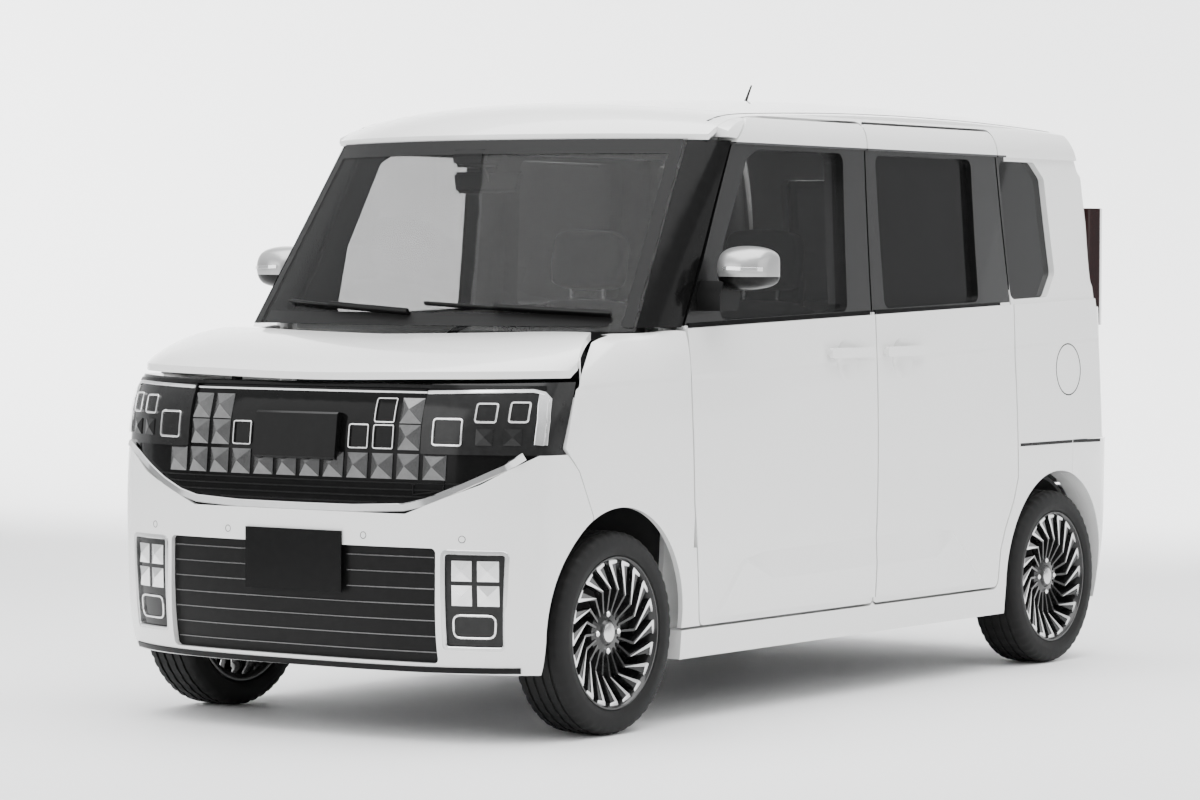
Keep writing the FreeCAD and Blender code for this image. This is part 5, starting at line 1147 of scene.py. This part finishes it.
def make_seats():
    voxel = FINE_VOXEL
    cushion = sewn(swollen((0.46, 0.50, 0.11), 0.03, 0.10, voxel, 0.014), (-0.14, 0.14), (0.05,))
    back = sewn(swollen((0.44, 0.60, 0.10), 0.03, 0.08, voxel, 0.014), (-0.13, 0.13), (-0.10, 0.10))
    rest = swollen((0.25, 0.18, 0.085), 0.03, 0.15, voxel, 0.010)
    bench = sewn(swollen((0.50, 0.48, 0.13), 0.03, 0.10, voxel, 0.014), (-0.16, 0.16), (0.04,))
    bench_back = sewn(swollen((0.50, 0.52, 0.10), 0.03, 0.08, voxel, 0.014), (-0.16, 0.16), (0.0,))
    bases = []
    posts = []
    for hand in (1, -1):
        name = side_word(hand)
        x = hand * SEAT_X
        place_pad("front_cushion_" + name, cushion, (x, -0.215, 0.565), math.radians(4))
        place_pad("front_back_" + name, back, (x, 0.105, 0.880), math.radians(76))
        place_pad("front_head_rest_" + name, rest, (x, 0.172, 1.285), math.radians(80))
        place_pad("rear_cushion_" + name, bench, (hand * BENCH_X, 0.815, 0.535), math.radians(4))
        place_pad("rear_back_" + name, bench_back, (hand * BENCH_X, 1.045, 0.865), math.radians(72))
        place_pad("rear_head_rest_" + name, rest, (hand * BENCH_X, 1.125, 1.165), math.radians(76))
        bases.append(seat_base(x, -0.44, 0.06, 0.235, 0.276, 0.515))
        for low, high, lean_y in ((1.14, 1.22, 0.158), (1.08, 1.12, 1.115)):
            middle = x if lean_y < 0.5 else hand * BENCH_X
            for offset in (-0.06, 0.06):
                posts.append(post(middle + offset, lean_y, low, high))
    item = add_piece("front_seat_bases", join(bases), CABIN, "root", True)
    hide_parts("seats_front")
    bench_base = seat_base(0.0, 0.58, 1.02, 0.515, 0.276, 0.475)
    item = add_piece("rear_seat_base", bench_base, CABIN, "root", True)
    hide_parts("seat_rear")
    add_piece("head_rest_posts", join(posts), CHROME, "root", True)


def seat_base(x, front, rear, half, low, high):
    cut = 0.03
    middle = (front + rear) / 2
    corners = ((-1, -1, 0, cut), (-1, -1, cut, 0), (1, -1, cut, 0), (1, -1, 0, cut),
               (1, 1, 0, cut), (1, 1, cut, 0), (-1, 1, cut, 0), (-1, 1, 0, cut))
    rows = []
    for share, size in ((0.0, 0.86), (0.15, 0.80), (0.7, 0.90), (0.92, 1.0), (1.0, 0.96)):
        z = low + (high - low) * share
        reach = (rear - front) / 2 * size
        side = half * size
        rows.append([Vector((x + a * side - math.copysign(c, a), middle + b * reach - math.copysign(d, b),
                             z))
                     for a, b, c, d in corners])
    return tube(rows)


def post(x, y, low, high):
    ends = ((low, 0.006), (low + 0.004, 0.007), (high - 0.004, 0.007), (high, 0.006))
    return tube([octagon(Vector((x, y, z)), radius) for z, radius in ends])


make_roof_lines()
for hand_sign in (1, -1):
    make_side_lines(hand_sign)
    make_mirror_shell(hand_sign)
    make_mirror_detail(hand_sign)
    make_hood_seal(hand_sign)
make_shield_trim()
make_wipers()
make_cabin_items()
make_antenna()
make_rear_detail()
make_front_lip()
make_seats()


# Floor, light and camera

CAMERA_PLACE = (6.8077, -10.1583, 1.2631)
CAMERA_YAW = math.radians(34.4523)
CAMERA_PITCH = math.radians(-1.8895)
CAMERA_ROLL = math.radians(-0.1781)
CAMERA_LENS = 120.74


SWEEP_FRONT = -26.0
SWEEP_BEND = 9.0
SWEEP_RADIUS = 7.0
SWEEP_STEPS = 16


def make_stage():
    """A pale floor that bends up into a wall behind the car."""
    ahead = Vector((-math.sin(CAMERA_YAW), math.cos(CAMERA_YAW), 0))
    across = Vector((ahead.y, -ahead.x, 0))
    rows = [(SWEEP_FRONT, 0.0), (SWEEP_BEND, 0.0)]
    for step in range(1, SWEEP_STEPS + 1):
        angle = math.pi / 2 * step / SWEEP_STEPS
        rows.append((SWEEP_BEND + SWEEP_RADIUS * math.sin(angle),
                     SWEEP_RADIUS - SWEEP_RADIUS * math.cos(angle)))
    rows.append((SWEEP_BEND + SWEEP_RADIUS, SWEEP_RADIUS * 2))
    verts = []
    for reach, height in rows:
        verts += [ahead * reach + across * side + Vector((0, 0, height)) for side in (-30.0, 30.0)]
    faces = [[2 * k, 2 * k + 1, 2 * k + 3, 2 * k + 2] for k in range(len(rows) - 1)]
    mesh = bpy.data.meshes.new("studio_sweep")
    mesh.from_pydata([tuple(v) for v in verts], [], faces)
    mesh.shade_smooth()
    floor = bpy.data.objects.new("studio_sweep", mesh)
    bpy.context.scene.collection.objects.link(floor)
    mesh.materials.append(plain("studio_sweep", grey(0.92), grey(0.94), 0.6, specular=0.1))


def add_area(name, place, target, size, power):
    light = bpy.data.lights.new(name, "AREA")
    light.shape = "RECTANGLE"
    light.size, light.size_y = size
    light.energy = power
    item = bpy.data.objects.new(name, light)
    item.location = place
    direction = Vector(target) - Vector(place)
    item.rotation_euler = direction.to_track_quat("-Z", "Y").to_euler()
    bpy.context.scene.collection.objects.link(item)


# Name, place, target, size and power
AREA_LIGHTS = (
    ("overhead", (0.5, -0.5, 5.2), (0, 0, 0.8), (7.0, 6.0), 520),
    ("front_soft", (-2.5, -6.5, 2.6), (0, -1.0, 0.8), (5.0, 3.0), 120),
    ("backdrop_left", (-9.0, 5.0, 5.0), (-9.5, 13.0, 2.5), (10.0, 3.0), 1500),
    ("backdrop_right", (3.0, 9.5, 5.0), (-2.0, 16.0, 2.5), (10.0, 3.0), 1500),
    ("side_soft", (6.0, 1.5, 2.4), (0, 0.3, 0.8), (6.0, 2.5), 60),
)


def make_light():
    """Soft areas and a sky that is brighter overhead than at the horizon."""
    world = bpy.data.worlds.new("studio")
    world.use_nodes = True
    nodes = world.node_tree.nodes
    links = world.node_tree.links
    sky = nodes["Background"]
    sky.inputs[0].default_value = (0.93, 0.94, 0.95, 1)
    ramp = nodes.new("ShaderNodeMapRange")
    split = nodes.new("ShaderNodeSeparateXYZ")
    links.new(nodes.new("ShaderNodeTexCoord").outputs["Generated"], split.inputs[0])
    links.new(split.outputs[2], ramp.inputs["Value"])
    set_inputs(ramp, {"From Min": 0.05, "From Max": 0.9, "To Min": 0.55, "To Max": 2.0})
    links.new(ramp.outputs["Result"], sky.inputs[1])
    bpy.context.scene.world = world
    for light in AREA_LIGHTS:
        add_area(*light)


def make_camera():
    camera = bpy.data.cameras.new("photo_camera")
    camera.lens = CAMERA_LENS
    camera.sensor_width = 36.0
    camera.sensor_fit = "HORIZONTAL"
    camera.clip_end = 100
    item = bpy.data.objects.new("photo_camera", camera)
    turn = Matrix.Rotation(CAMERA_YAW, 3, "Z") @ Matrix.Rotation(CAMERA_PITCH, 3, "X")
    turn = turn @ Matrix.Rotation(CAMERA_ROLL, 3, "Y")
    axes = Matrix((turn.col[0], turn.col[2], -turn.col[1])).transposed()
    item.matrix_world = Matrix.Translation(CAMERA_PLACE) @ axes.to_4x4()
    bpy.context.scene.collection.objects.link(item)
    bpy.context.scene.camera = item


make_stage()
make_light()
make_camera()
